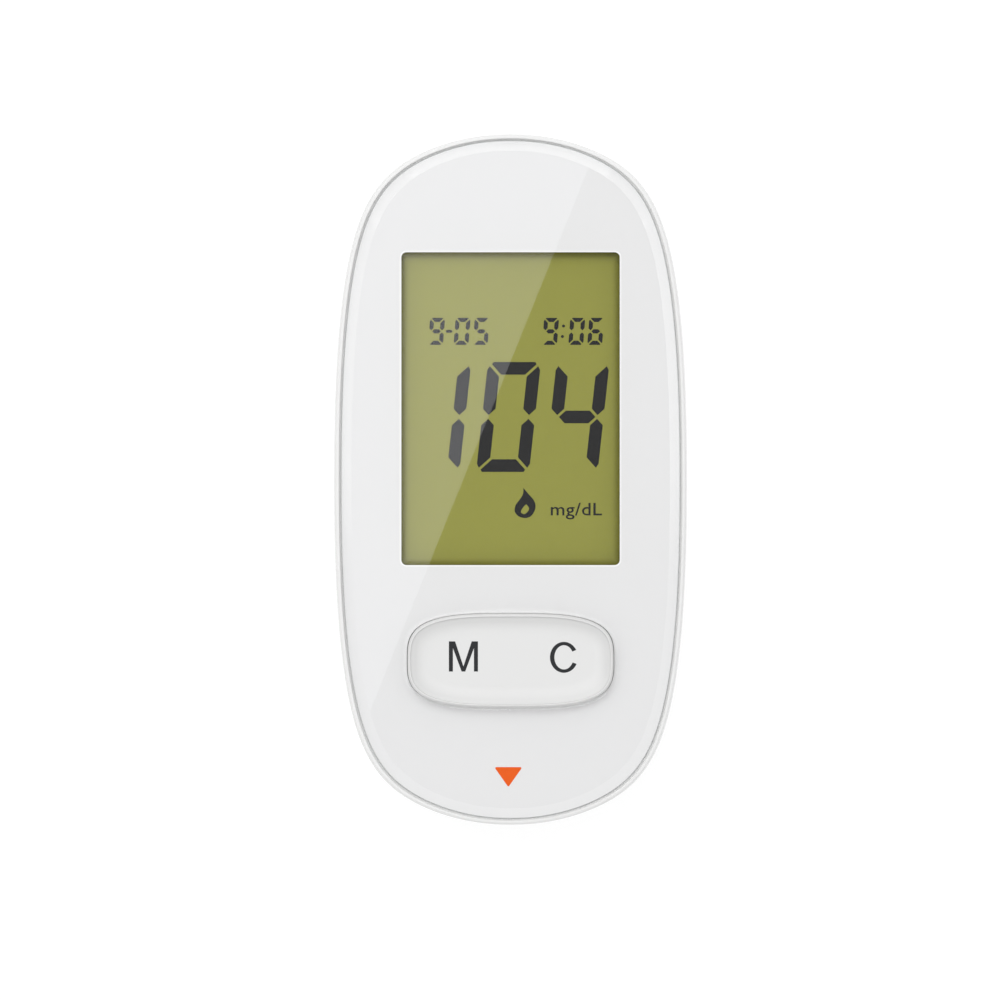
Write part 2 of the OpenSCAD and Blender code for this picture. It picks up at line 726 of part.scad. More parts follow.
// Rows of capacitors on both sides of the battery compartment, and one on each side of the strip connector
module capacitors() color("tan") {
    x = board_reach.x - capacitor_from_edge;
    rows = [for (i = [-2 : 0]) [x, cell_place.y + i * capacitor_pitch]];
    beside_connector = [connector_width / 2 + capacitor_pitch, connector_rear_y];
    for (side = [-1, 1], p = concat(rows, [beside_connector]))
        translate([side * p.x - capacitor_size.x / 2, p.y - capacitor_size.y / 2, board_z - capacitor_size.z])
            cube(capacitor_size);
}

module sounder() color("black")
    translate([0, board_reach.y - sounder_from_edge, 0]) difference() {
        pillar(board_z - sounder_height, board_z, sounder_radius);
        pillar(board_z - sounder_height - cut, board_z - sounder_height + 0.6, 0.8);
    }

module strip_connector() color("ivory") {
    half = connector_width / 2;
    difference() {
        block([-half, half], [connector_front_y, connector_rear_y], [connector_z, board_z]);
        block([-strip_width / 2, strip_width / 2], [connector_front_y - cut, connector_rear_y - 1],
            [strip_z, strip_z + strip_height]);
        // groove that lets the ejector reach the strip from behind
        block([-pusher_tip / 2 - 0.3, pusher_tip / 2 + 0.3],
            [pusher_y - eject_travel - 0.4, connector_rear_y + cut],
            [connector_z - cut, strip_z + strip_height + fit]);
        for (i = [0 : contact_count - 1]) {
            x = (i - (contact_count - 1) / 2) * contact_pitch;
            block([x - contact_width / 2 - fit, x + contact_width / 2 + fit],
                [connector_rear_y - contact_reach - 0.3, connector_rear_y + cut],
                [strip_z + strip_height - fit, board_z + cut]);
        }
    }
}

module connector_contacts() color("gold") {
    rear = connector_rear_y;
    tip = rear - contact_reach;
    z = strip_z + strip_height;
    for (i = [0 : contact_count - 1])
        side_profile((i - (contact_count - 1) / 2) * contact_pitch, contact_width, [
            [rear + contact_tail, board_z - contact_leaf], [rear + contact_tail, board_z],
            [rear - contact_tail, board_z], [rear - 1.4 * contact_tail, z + 3 * contact_leaf],
            [tip + 1.8, z + 0.6], [tip + 0.8, z + contact_leaf], [tip + 0.2, z + 0.5], [tip, z + 0.3],
            [tip + 0.7, z - 0.05], [tip + 1.9, z + 0.35],
            [rear - 1.2 * contact_tail, z + 2 * contact_leaf],
            [rear - 0.8 * contact_tail, board_z - contact_leaf]
        ]);
}

// ---------- battery ----------

module coin_cell() color("silver") at([cell_place]) {
    pillar(cell_z, cell_top - 0.6, cell_radius);
    pillar(cell_z, cell_top, cell_radius - 1.2);
}

module battery_contact_positive() color("gold") {
    x = [-positive_width / 2, positive_width / 2];
    block(x, [positive_y, positive_y + leaf_thickness], [cell_z + 0.4, board_z]);
    block(x, [positive_y, positive_y + 2], [board_z - leaf_thickness, board_z]);
}

module battery_contact_negative() color("gold") {
    x = [-negative_width / 2, negative_width / 2];
    block(x, [negative_y, cell_place.y + 2], [cell_top, cell_top + leaf_thickness]);
    block(x, [negative_y, negative_y + leaf_thickness], [cell_top, board_z]);
}

module battery_door() color("whitesmoke") {
    difference() {
        union() {
            rounded_plate(cell_place, door_size, door_radius, door_recess, door_thickness);
            for (side = [-1, 1]) {
                x = [side * tab_offset - tab_width / 2, side * tab_offset + tab_width / 2];
                block(x, [door_top_y - 1.6, door_top_y - 0.1], [door_top - fit, tab_top]);
                block(x, [door_top_y - 1.6, door_top_y + tab_reach], [tab_z, tab_top]);
            }
        }
        block([-latch_width / 2 - 0.2, latch_width / 2 + 0.2], [door_bottom_y - cut, door_bottom_y + 0.9],
            [-cut, door_top + cut]);
        // grip grooves
        for (i = [0 : 4]) translate([0, door_bottom_y + 4 + 1.6 * i, door_recess])
            rotate([0, 90, 0]) cylinder(h = door_width / 2, r = 0.35, center = true);
    }
}

// Springy tongue on the door's lower edge, with the hook that catches inside the back
module door_latch() color("whitesmoke") {
    root = door_bottom_y + latch_root;
    tongue = door_bottom_y + fit;
    hook = tongue - hook_reach;
    top = ledge_z + 3.5 * latch_leaf;
    side_profile(0, latch_width, [
        [root, door_top], [root - latch_leaf, door_top], [root - latch_leaf, top - latch_leaf],
        [tongue + latch_leaf, top - latch_leaf], [tongue + latch_leaf, door_recess + fit],
        [tongue, door_recess + fit], [tongue, wall + fit], [hook, wall + fit],
        [hook, wall + fit + hook_reach / 2], [tongue, wall + fit + 1.3 * hook_reach],
        [tongue, top], [root, top]
    ]);
}

// ---------- ejector ----------

module ejector_button() color("whitesmoke") {
    top = recess_depth - slide_gap;
    translate([0, pad_rest_y, 0]) difference() {
        union() {
            rounded_plate([0, 0], [pad_width, pad_length], 1.5, 0.2, top - 0.2);
            rounded_plate([0, 0], stem_size, 0.4, top - cut, carriage_z - top + cut);
        }
        for (i = [-2 : 2]) translate([0, i * groove_pitch, 0.2])
            rotate([0, 90, 0]) cylinder(h = pad_width - 2 * groove_pitch, r = groove_radius, center = true);
    }
}

module ejector_carriage() color("gainsboro") {
    half = carriage_size / 2;
    block([-half.x, half.x], [pad_rest_y - half.y, pad_rest_y + half.y], [carriage_z, carriage_top]);
    block([-pusher_width / 2, pusher_width / 2], [pusher_y, carriage_front_y + cut],
        [carriage_z, carriage_top]);
    block([-pusher_tip / 2, pusher_tip / 2], [pusher_y, pusher_y + 1],
        [carriage_top - cut, strip_z + strip_height - fit]);
    // seat for the spring
    block([spring_x - spring_seat, spring_x + spring_seat - rail_reach],
        [carriage_front_y, carriage_front_y + 1], [carriage_top - cut, spring_z + spring_radius]);
}

// Helix along Y, swept as a tube with closed ends
module ejector_spring() color("silver") {
    sides = 6;
    steps = 10 * spring_turns;
    run = spring_length - spring_wire;
    points = [for (k = [0 : steps]) let (turn = 360 * spring_turns * k / steps, y = run * k / steps)
        for (s = [0 : sides - 1]) let (r = spring_radius + spring_wire / 2 * cos(360 * s / sides))
            [r * cos(turn), y + spring_wire / 2 * sin(360 * s / sides), r * sin(turn)]];
    tube = [for (k = [0 : steps - 1]) for (s = [0 : sides - 1])
        let (a = k * sides + s, b = k * sides + (s + 1) % sides, c = b + sides, d = a + sides)
        each [[a, c, b], [a, d, c]]];
    ends = [[for (s = [0 : sides - 1]) s], [for (s = [sides - 1 : -1 : 0]) steps * sides + s]];
    translate([spring_x, spring_stop_y + spring_wire / 2, spring_z]) polyhedron(points, concat(tube, ends));
}

// ---------- screws ----------

// A pan-head screw seated at the given height, with its shank pointing up and a cross recess
module screw(seat, head_radius, head_height, radius, length) {
    difference() {
        union() {
            pillar(seat - head_height, seat, head_radius);
            pillar(seat - cut, seat + length, radius);
        }
        for (turn = [0, 90]) translate([0, 0, seat - head_height]) rotate(turn)
            cube([head_radius * 1.2, screw_slot_width, head_height], center = true);
    }
}

module case_screws() color("silver")
    at(case_screw_places) screw(seat_z, screw_head_radius, screw_head_height, screw_radius, screw_length);

module board_screws() color("silver")
    at(board_screw_places) screw(board_z, board_screw_head_radius, board_screw_head_height,
        board_screw_radius, board_screw_length);

rear_housing();
front_housing();
faceplate();
faceplate_print();
faceplate_tape();
lcd_front_polariser();
lcd_front_glass();
lcd_back_glass();
lcd_reflector();
lcd_gasket();
lcd_frame();
zebra_connector();
rocker_key();
key_mat();
main_board();
microcontroller();
memory_chip();
crystal();
capacitors();
sounder();
strip_connector();
connector_contacts();
battery_door();
door_latch();
coin_cell();
battery_contact_positive();
battery_contact_negative();
ejector_button();
ejector_carriage();
ejector_spring();
case_screws();
board_screws();
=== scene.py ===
# Blood glucose meter, lying on its back on a pale table: finishes, print, display and studio
import math

import bmesh
import bpy
from mathutils import Matrix, Vector
from mathutils.kdtree import KDTree


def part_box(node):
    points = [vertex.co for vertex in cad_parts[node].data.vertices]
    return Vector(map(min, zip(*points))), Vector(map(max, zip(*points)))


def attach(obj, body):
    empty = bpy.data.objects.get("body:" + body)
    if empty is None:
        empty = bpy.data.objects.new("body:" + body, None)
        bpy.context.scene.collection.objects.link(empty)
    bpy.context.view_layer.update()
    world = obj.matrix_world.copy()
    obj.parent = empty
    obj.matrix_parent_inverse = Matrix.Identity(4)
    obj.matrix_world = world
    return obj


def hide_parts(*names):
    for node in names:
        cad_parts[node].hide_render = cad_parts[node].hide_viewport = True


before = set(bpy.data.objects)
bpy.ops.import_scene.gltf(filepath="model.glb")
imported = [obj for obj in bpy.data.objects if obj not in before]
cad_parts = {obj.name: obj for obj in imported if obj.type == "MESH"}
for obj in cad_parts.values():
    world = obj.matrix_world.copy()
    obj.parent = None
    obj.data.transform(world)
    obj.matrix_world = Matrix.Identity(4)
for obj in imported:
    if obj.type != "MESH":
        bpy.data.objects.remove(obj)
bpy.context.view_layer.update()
mm = 0.001
white = (1, 1, 1, 1)
touching = 1e-6     # points of one mesh that lie closer than this, in metres, are the same
creaseAngle = 32    # edges sharper than this, in degrees, stay sharp
scene = bpy.context.scene
print("frame loaded:", len(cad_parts), "nodes")


# small helpers

def linear(hexColour):
    # sRGB hex to the linear colour that shaders take
    channels = [int(hexColour[i:i + 2], 16) / 255 for i in (1, 3, 5)]
    return [c / 12.92 if c <= 0.04045 else ((c + 0.055) / 1.055) ** 2.4 for c in channels] + [1]


def addNode(tree, kind, settings=None, links=None):
    node = tree.nodes.new("ShaderNode" + kind)
    for name, value in (settings or {}).items():
        if isinstance(name, int) or name in node.inputs:
            node.inputs[name].default_value = value
        else:
            setattr(node, name, value)
    for name, source in (links or {}).items():
        tree.links.new(source, node.inputs[name])
    return node


def newMaterial(name):
    material = bpy.data.materials.new(name)
    material.use_nodes = True
    tree = material.node_tree
    tree.nodes.clear()
    return material, tree


def finishMaterial(material, tree, shader):
    addNode(tree, "OutputMaterial", links={"Surface": shader.outputs[0]})
    return material


def surface(material, tree, settings, tone, gloss, bump=None):
    # an opaque surface with its colour, its roughness and its fine relief
    links = {"Base Color": tone, "Roughness": gloss}
    if bump:
        links["Normal"] = bump.outputs[0]
    return finishMaterial(material, tree, addNode(tree, "BsdfPrincipled", settings, links))


def nodePlace(tree):
    # the object's own coordinates, in metres, so a scale of 1000 makes a pattern one millimetre wide
    return addNode(tree, "TexCoord").outputs["Object"]


def calculate(tree, operation, *terms):
    # a maths node: each term is a number or another node's output
    numbers = {i: term for i, term in enumerate(terms) if isinstance(term, (int, float))}
    sources = {i: term for i, term in enumerate(terms) if i not in numbers}
    return addNode(tree, "Math", {"operation": operation, **numbers}, sources).outputs[0]


def noise(tree, place, size, detail=3, roughness=0.5):
    # size is the pattern's width in millimetres
    return addNode(tree, "TexNoise", {"Scale": 1 / (size * mm), "Detail": detail, "Roughness": roughness},
                   {"Vector": place}).outputs["Fac"]


def blendColours(tree, factor, first, second, how="MIX"):
    # each colour is a hex value or another node's output; 6 and 7 are the node's colour sockets
    colours = {6: first, 7: second}
    fixed = {i: linear(colour) for i, colour in colours.items() if isinstance(colour, str)}
    linked = {i: colour for i, colour in colours.items() if i not in fixed}
    return addNode(tree, "Mix", {"data_type": "RGBA", "blend_type": how, **fixed},
                   {"Factor": factor, **linked}).outputs[2]


def between(tree, value, low, high):
    return addNode(tree, "MapRange", {"To Min": low, "To Max": high}, {"Value": value}).outputs[0]


def smoothStep(tree, value, start, end):
    # 0 at the start and 1 at the end, with a soft rise between them
    return addNode(tree, "MapRange", {"interpolation_type": "SMOOTHSTEP", "From Min": start, "From Max": end},
                   {"Value": value}).outputs[0]


def softenFlats(mesh, flatFrom=0.99995, gentleFrom=0.94):
    # flat faces keep one even normal right up to the gently sloping faces round them
    normals = [corner.vector.copy() for corner in mesh.corner_normals]
    flat = set()
    for face in mesh.polygons:
        if abs(face.normal.z) > flatFrom:
            flat.update((v, face.normal.z > 0) for v in face.vertices)
    for face in mesh.polygons:
        up = face.normal.z > 0
        if abs(face.normal.z) < gentleFrom:
            continue
        for corner in face.loop_indices:
            if (mesh.loops[corner].vertex_index, up) in flat:
                normals[corner] = Vector((0, 0, 1 if up else -1))
    mesh.normals_split_custom_set(normals)


def smoothMesh(mesh, angle):
    mesh.shade_smooth()
    mesh.set_sharp_from_angle(angle=math.radians(angle))


def dress(material, nodeNames):
    # gives carried-over nodes their finish, and smooths their round faces
    for name in nodeNames:
        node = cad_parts[name]
        node.data.materials.clear()
        node.data.materials.append(material)
        smoothMesh(node.data, creaseAngle)


def meshFrom(name, bm, turnOutward=False):
    if turnOutward:
        bmesh.ops.recalc_face_normals(bm, faces=bm.faces)
    mesh = bpy.data.meshes.new(name)
    bm.to_mesh(mesh)
    bm.free()
    return mesh


def showMesh(name, mesh, material, body="case"):
    piece = bpy.data.objects.new(name, mesh)
    scene.collection.objects.link(piece)
    mesh.materials.clear()
    mesh.materials.append(material)
    smoothMesh(mesh, creaseAngle)
    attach(piece, body)
    return piece


def meshPiece(name, bm, material, body="case"):
    return showMesh(name, meshFrom(name, bm, turnOutward=True), material, body)


def combine(piece, bm, operation):
    # cuts a closed form out of the piece, or joins it on
    mesh = meshFrom("tool", bm, turnOutward=True)
    tool = bpy.data.objects.new("tool", mesh)
    scene.collection.objects.link(tool)
    modifier = piece.modifiers.new("combine", "BOOLEAN")
    modifier.operation = operation
    modifier.object = tool
    modifier.solver = "EXACT"
    graph = bpy.context.evaluated_depsgraph_get()
    result = bpy.data.meshes.new_from_object(piece.evaluated_get(graph))
    piece.modifiers.clear()
    piece.data = result
    bpy.data.objects.remove(tool)
    bpy.data.meshes.remove(mesh)


# outlines: case and key are squared ovals, and the case has crowned ends and sides; a form is the oval's
# power, the crown of its ends and the crown of its sides

def hump(u):
    # nothing at 0 and at 1, and 27 / 4 brings the highest point between them to 1
    return 27 / 4 * u * u * (1 - u * u) ** 2


def ovalPoint(half, form, turn):
    c, s = math.cos(turn), math.sin(turn)
    reach = (abs(c) ** form[0] + abs(s) ** form[0]) ** (1 / form[0])
    u, v = c / reach, s / reach
    return half[0] * u * (1 - form[2] * hump(v)), half[1] * v * (1 - form[1] * hump(u))


def plainOval(x, y, half, form, rounds=6):
    # the same point on the oval without its crowns, as shares of the half lengths, which a few rounds settle
    across, along = x / half[0], y / half[1]
    u, v = across, along
    for _ in range(rounds):
        u, v = across / (1 - form[2] * hump(min(abs(v), 1))), along / (1 - form[1] * hump(min(abs(u), 1)))
    return u, v


def halfSize(size, inset):
    return size[0] / 2 - inset, size[1] / 2 - inset


def ovalPoints(size, form, steps, inset):
    half = halfSize(size, inset)
    return [ovalPoint(half, form, 2 * math.pi * i / steps) for i in range(steps)]


def roundedRect(size, radius, steps=8):
    points = []
    for quarter, (sx, sy) in enumerate(((1, 1), (-1, 1), (-1, -1), (1, -1))):
        for i in range(steps + 1):
            turn = math.pi / 2 * (quarter + i / steps)
            points.append((sx * (size[0] / 2 - radius) + radius * math.cos(turn),
                           sy * (size[1] / 2 - radius) + radius * math.sin(turn)))
    return points


def loft(rings):
    # a closed skin through rings of equal count, capped at both ends
    bm = bmesh.new()
    rows = [[bm.verts.new(p) for p in ring] for ring in rings]
    count = len(rows[0])
    for low, high in zip(rows, rows[1:]):
        for i in range(count):
            j = (i + 1) % count
            bm.faces.new((low[i], low[j], high[j], high[i]))
    bm.faces.new(rows[0][::-1])
    bm.faces.new(rows[-1])
    return bm


def slab(outline, bottom, top, centre=(0, 0)):
    return loft([[(x + centre[0], y + centre[1], z) for x, y in outline] for z in (bottom, top)])


def ovalLoft(size, form, profile, steps, centre=(0, 0)):
    return loft([[(x + centre[0], y + centre[1], z) for x, y in ovalPoints(size, form, steps, inset)]
                 for inset, z in profile])


def addShape(bm, loops, bottom, thickness, place=(0, 0), slant=0):
    # a thin flat figure with its side walls: the first loop is its outline, the others are holes
    lean = math.tan(math.radians(slant))
    rows = []
    for z in (bottom, bottom + thickness):
        row = [[bm.verts.new(((x + lean * y) * mm + place[0], y * mm + place[1], z)) for x, y in loop]
               for loop in loops]
        edges = [bm.edges.new((verts[i - 1], verts[i])) for verts in row for i in range(len(verts))]
        bmesh.ops.triangle_fill(bm, edges=edges, use_beauty=True, use_dissolve=False)
        rows.append(row)
    for low, high in zip(*rows):
        for i in range(len(low)):
            bm.faces.new((low[i - 1], low[i], high[i], high[i - 1]))


# refined shells: the CAD shell keeps all its features, and its long facets are rounded to the true oval

caseOval = dict(size=(48.1, 94), form=(3.35, 0.025, 0.0125), steps=96, centreY=0, most=12)
keyOval = dict(size=(27.9, 12.7), form=(3.3, 0, 0), steps=72, centreY=-24.5, most=1.5)
backEdge = dict(run=9.5, rise=8.0)
ringCuts = 2    # new points on each chord of a ring
# how closely the CAD's own points are matched: all in mm, but for step and arc, which are shares
match = dict(outermost=-0.5, edge=0.001, step=0.004, inset=0.003, arc=0.002, ring=0.01, snap=2e-5)


def ovalInset(x, y, oval, halvings=28):
    # how far inside the full oval the point lies, by halving
    low, high = match["outermost"], oval["most"]
    power = oval["form"][0]
    for _ in range(halvings):
        middle = (low + high) / 2
        u, v = plainOval(x, y, halfSize(oval["size"], middle), oval["form"])
        if abs(u) ** power + abs(v) ** power > 1:
            high = middle
        else:
            low = middle
    return low


def ringData(bm, oval):
    # for each point on one of the oval's rings: its inset and its step round the ring
    rings = {}
    for vert in bm.verts:
        x, y = vert.co.x / mm, vert.co.y / mm - oval["centreY"]
        inset = ovalInset(x, y, oval)
        if inset > oval["most"] - match["edge"] or inset < match["outermost"] + match["edge"]:
            continue
        u, v = plainOval(x, y, halfSize(oval["size"], inset), oval["form"])
        step = math.atan2(v, u) / (2 * math.pi) * oval["steps"]
        if abs(step - round(step)) < match["step"]:
            rings[vert] = (inset, round(step) % oval["steps"])
    return rings


def splitEdges(bm, edges, cuts, target):
    # splits the edges evenly, and moves each new point to its place on the true form
    places = []
    for edge in edges:
        a, b = edge.verts
        for k in range(1, cuts + 1):
            share = k / (cuts + 1)
            places.append((a.co.lerp(b.co, share), target(a, b, share)))
    tree = KDTree(len(places))
    for index, (onChord, _) in enumerate(places):
        tree.insert(onChord, index)
    tree.balance()
    bmesh.ops.subdivide_edges(bm, edges=edges, cuts=cuts, use_grid_fill=True)
    for vert in bm.verts:
        _, index, distance = tree.find(vert.co)
        if distance < match["snap"] * mm:
            vert.co = places[index][1]


def roundRings(bm, oval):
    rings = ringData(bm, oval)
    # the skin's triangles become quads between two rings, so that the new points run straight up it
    diagonals = []
    for edge in bm.edges:
        a, b = edge.verts
        if len(edge.link_faces) != 2 or a not in rings or b not in rings or abs(a.co.z - b.co.z) < touching:
            continue
        corners = {v for face in edge.link_faces for v in face.verts}
        if len(corners) == 4 and all(v in rings for v in corners) and rings[a][1] != rings[b][1]:
            steps = {rings[v][1] for v in corners}
            if len(steps) == 2 and len({round(v.co.z / touching) for v in corners}) == 2:
                diagonals.append(edge)
    bmesh.ops.dissolve_edges(bm, edges=diagonals, use_verts=False, use_face_split=False)
    chosen = []
    for edge in bm.edges:
        a, b = edge.verts
        if a in rings and b in rings and abs(a.co.z - b.co.z) < touching:
            apart = abs(rings[a][1] - rings[b][1])
            if apart in (1, oval["steps"] - 1) and abs(rings[a][0] - rings[b][0]) < match["inset"]:
                chosen.append(edge)

    def onRing(a, b, share):
        (inset, first), second = rings[a], rings[b][1]
        if abs(second - first) > 1:
            second += oval["steps"] if second < first else -oval["steps"]
        turn = 2 * math.pi * (first + (second - first) * share) / oval["steps"]
        x, y = ovalPoint(halfSize(oval["size"], inset), oval["form"], turn)
        return Vector((x * mm, (y + oval["centreY"]) * mm, a.co.z))

    splitEdges(bm, chosen, ringCuts, onRing)
    return len(chosen)


def roundBackEdge(bm, oval, edgeLook):
    # one more ring between each two of the rounded back edge
    finer = dict(oval, steps=oval["steps"] * (ringCuts + 1))
    rings = ringData(bm, finer)
    run, rise = edgeLook["run"], edgeLook["rise"]

    def onEdge(vert):
        if vert not in rings:
            return False
        across, down = (run - rings[vert][0]) / run, (rise - vert.co.z / mm) / rise
        return down > -match["edge"] and abs(math.hypot(across, down) - 1) < match["arc"]

    def onArc(a, b, _):
        across = (run - (rings[a][0] + rings[b][0]) / 2) / run
        down = (rise - (a.co.z + b.co.z) / 2 / mm) / rise
        scale = math.hypot(across, down)
        inset = run - run * across / scale
        turn = 2 * math.pi * rings[a][1] / finer["steps"]
        x, y = ovalPoint(halfSize(oval["size"], inset), oval["form"], turn)
        return Vector((x, y, rise - rise * down / scale)) * mm

    chosen = [e for e in bm.edges if onEdge(e.verts[0]) and onEdge(e.verts[1])
              and rings[e.verts[0]][1] == rings[e.verts[1]][1]]
    splitEdges(bm, chosen, 1, onArc)
    return len(chosen)


def moveRing(bm, oval, inset, newInset):
    # moves one ring of the oval in or out, by its own amounts along X and Y
    half = (oval["size"][0] / 2 - newInset[0], oval["size"][1] / 2 - newInset[1])
    finer = dict(oval, steps=oval["steps"] * (ringCuts + 1))
    for vert, (found, step) in ringData(bm, finer).items():
        if abs(found - inset) < match["ring"]:
            x, y = ovalPoint(half, oval["form"], 2 * math.pi * step / finer["steps"])
            vert.co = (x * mm, (y + oval["centreY"]) * mm, vert.co.z)


def refinedShell(name, nodeName, ovals, material, edgeLook=None, closer=None):
    # closer names one ring round the key by its inset, and gives its new insets along X and Y
    bm = bmesh.new()
    bm.from_mesh(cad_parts[nodeName].data)
    bmesh.ops.remove_doubles(bm, verts=bm.verts, dist=touching)
    rounded = [roundRings(bm, oval) for oval in ovals]
    if edgeLook:
        rounded.append(roundBackEdge(bm, ovals[0], edgeLook))
    if closer:
        moveRing(bm, keyOval, *closer)
    piece = showMesh(name, meshFrom(name, bm), material)
    softenFlats(piece.data)
    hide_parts(nodeName)
    print(name, "edges rounded:", rounded)


# materials

plasticLooks = {
    # colour, its slow variation, roughness and its variation, mould texture and depth in mm; for the key also
    # a painted shade for its dish's slopes, and the upward normal shares where that painted shade starts and
    # where it is full
    "whiteAbs": dict(colour="#EFEFEE", shade="#EAEAE9", rough=0.36, roughVaries=0.05,
                     grain=0.22, depth=0.005),
    "glossAbs": dict(colour="#EDEDEC", shade="#EAEAE9", rough=0.24, roughVaries=0.04,
                     grain=0.35, depth=0.002),
    "keyAbs": dict(colour="#E3E3E2", shade="#E0E0DF", rough=0.36, roughVaries=0.05,
                   grain=0.18, depth=0.003, slope="#D6D6D5", slopeFrom=0.997, slopeFull=0.975),
    "naturalAbs": dict(colour="#E4E0D2", shade="#DDD8C8", rough=0.45, roughVaries=0.06,
                       grain=0.3, depth=0.006),
    "acetal": dict(colour="#ECEBE4", shade="#E4E2D9", rough=0.36, roughVaries=0.05,
                   grain=0.3, depth=0.004),
    "blackAbs": dict(colour="#1E1F21", shade="#26272A", rough=0.5, roughVaries=0.08,
                     grain=0.25, depth=0.01),
    "epoxyPackage": dict(colour="#2A2B2D", shade="#323336", rough=0.62, roughVaries=0.08,
                         grain=0.12, depth=0.008),
    "greySilicone": dict(colour="#A4A6A8", shade="#9A9C9F", rough=0.6, roughVaries=0.05,
                         grain=0.4, depth=0.006),
    "ceramicPart": dict(colour="#B49A74", shade="#A58B66", rough=0.42, roughVaries=0.08,
                        grain=0.15, depth=0.006),
    "adhesiveTape": dict(colour="#DCDCD8", shade="#D2D2CD", rough=0.5, roughVaries=0.1,
                         grain=0.5, depth=0.01),
    "foamGasket": dict(colour="#2E2F31", shade="#1C1D1F", rough=0.9, roughVaries=0.05,
                       grain=0.25, depth=0.08),
}


def mouldedPlastic(name, look):
    # moulded plastic or rubber: even colour, a slow change of sheen and the mould's fine texture
    material, tree = newMaterial(name)
    place = nodePlace(tree)
    slow = noise(tree, place, 14)
    grain = noise(tree, place, look["grain"], 2, 0.6)
    tone = blendColours(tree, slow, look["colour"], look["shade"])
    if "slope" in look:
        # painted shade: the dish's sloping sides are painted a little greyer than its floor, as if they got
        # less light
        normal = addNode(tree, "NewGeometry").outputs["Normal"]
        upward = addNode(tree, "SeparateXYZ", links={"Vector": normal}).outputs["Z"]
        sloping = addNode(tree, "MapRange", {"From Min": look["slopeFrom"], "From Max": look["slopeFull"]},
                          {"Value": upward}).outputs[0]
        tone = blendColours(tree, sloping, tone, look["slope"])
    gloss = between(tree, slow, look["rough"] - look["roughVaries"], look["rough"] + look["roughVaries"])
    bump = addNode(tree, "Bump", {"Strength": 0.6, "Distance": look["depth"] * mm}, {"Height": grain})
    return surface(material, tree, {"IOR": 1.53}, tone, gloss, bump)


finishes = {name: mouldedPlastic(name, look) for name, look in plasticLooks.items()}

metalLooks = {
    # colour, its slow variation, roughness and its variation, brushing along X, Y, Z in mm
    "nickelSteel": dict(colour="#C9C8C4", shade="#BAB9B5", rough=0.28, roughVaries=0.08, brush=(6, 0.12, 6)),
    "springSteel": dict(colour="#B7B8B9", shade="#A3A4A6", rough=0.3, roughVaries=0.06, brush=(0.3, 3, 0.3)),
    "zincSteel": dict(colour="#C4C6C8", shade="#B2B5B9", rough=0.36, roughVaries=0.08, brush=(0.4, 0.4, 2)),
    "goldPlate": dict(colour="#E3BE6A", shade="#D2A94F", rough=0.26, roughVaries=0.06, brush=(0.2, 3, 0.2)),
}


def drawnMetal(name, look):
    # rolled or drawn metal: fine lines along the way it was worked, that spread the highlight
    material, tree = newMaterial(name)
    place = nodePlace(tree)
    slow = noise(tree, place, 6)
    stretched = addNode(tree, "Mapping", {"Scale": [1 / (size * mm) for size in look["brush"]]},
                        {"Vector": place}).outputs[0]
    lines = addNode(tree, "TexNoise", {"Scale": 1, "Detail": 3}, {"Vector": stretched}).outputs["Fac"]
    tone = blendColours(tree, slow, look["colour"], look["shade"])
    gloss = between(tree, lines, look["rough"] - look["roughVaries"], look["rough"] + look["roughVaries"])
    bump = addNode(tree, "Bump", {"Strength": 0.3, "Distance": 0.004 * mm}, {"Height": lines})
    return surface(material, tree, {"Metallic": 1}, tone, gloss, bump)


finishes.update({name: drawnMetal(name, look) for name, look in metalLooks.items()})


def insideWindow(tree, place, opening):
    # how far inside the window's edges a place lies, in mm: negative under the print
    parts = addNode(tree, "SeparateXYZ", links={"Vector": place})
    distances = []
    for axis, middle, length in zip("XY", (0, opening["centreY"]), opening["size"]):
        away = calculate(tree, "ABSOLUTE", calculate(tree, "SUBTRACT", parts.outputs[axis], middle * mm))
        distances.append(calculate(tree, "MULTIPLY_ADD", away, -1 / mm, length / 2))
    return calculate(tree, "MINIMUM", *distances)


def clearSheet(name, tint, opening=None, polish=(0.003, 0.009), headOn=0.04, openingEdge=0.9):
    # polished clear acrylic or glass: what is under it shows, with a mirror gloss that grows to the edges;
    # with an opening, only that part of it has air behind and mirrors, and the rest is bonded to the print
    material, tree = newMaterial(name)
    clear = addNode(tree, "BsdfTransparent", {"Color": linear(tint)})
    facing = addNode(tree, "LayerWeight", {"Blend": 0.5})
    steep = calculate(tree, "POWER", facing.outputs["Facing"], 5)
    mirror = calculate(tree, "MULTIPLY_ADD", steep, 1 - headOn, headOn)
    if opening:
        airBehind = smoothStep(tree, insideWindow(tree, nodePlace(tree), opening), 0, openingEdge)
        mirror = calculate(tree, "MULTIPLY", mirror, airBehind)
    gloss = between(tree, noise(tree, nodePlace(tree), 9, 2), *polish)
    shine = addNode(tree, "BsdfAnisotropic", {"Color": white}, {"Roughness": gloss})
    mix = addNode(tree, "MixShader", links={0: mirror, 1: clear.outputs[0], 2: shine.outputs[0]})
    return finishMaterial(material, tree, mix)


def milledEdge(name, tint, shineShare=0.2):
    # the cut edge of the clear plate turns the view aside, so what lies behind it looks darker
    material, tree = newMaterial(name)
    clear = addNode(tree, "BsdfTransparent", {"Color": linear(tint)})
    marks = noise(tree, nodePlace(tree), 0.3)
    shine = addNode(tree, "BsdfPrincipled", {"Base Color": linear("#C4C5C5"), "IOR": 1.49},
                    {"Roughness": between(tree, marks, 0.2, 0.4)})
    mix = addNode(tree, "MixShader", {0: shineShare}, {1: clear.outputs[0], 2: shine.outputs[0]})
    return finishMaterial(material, tree, mix)


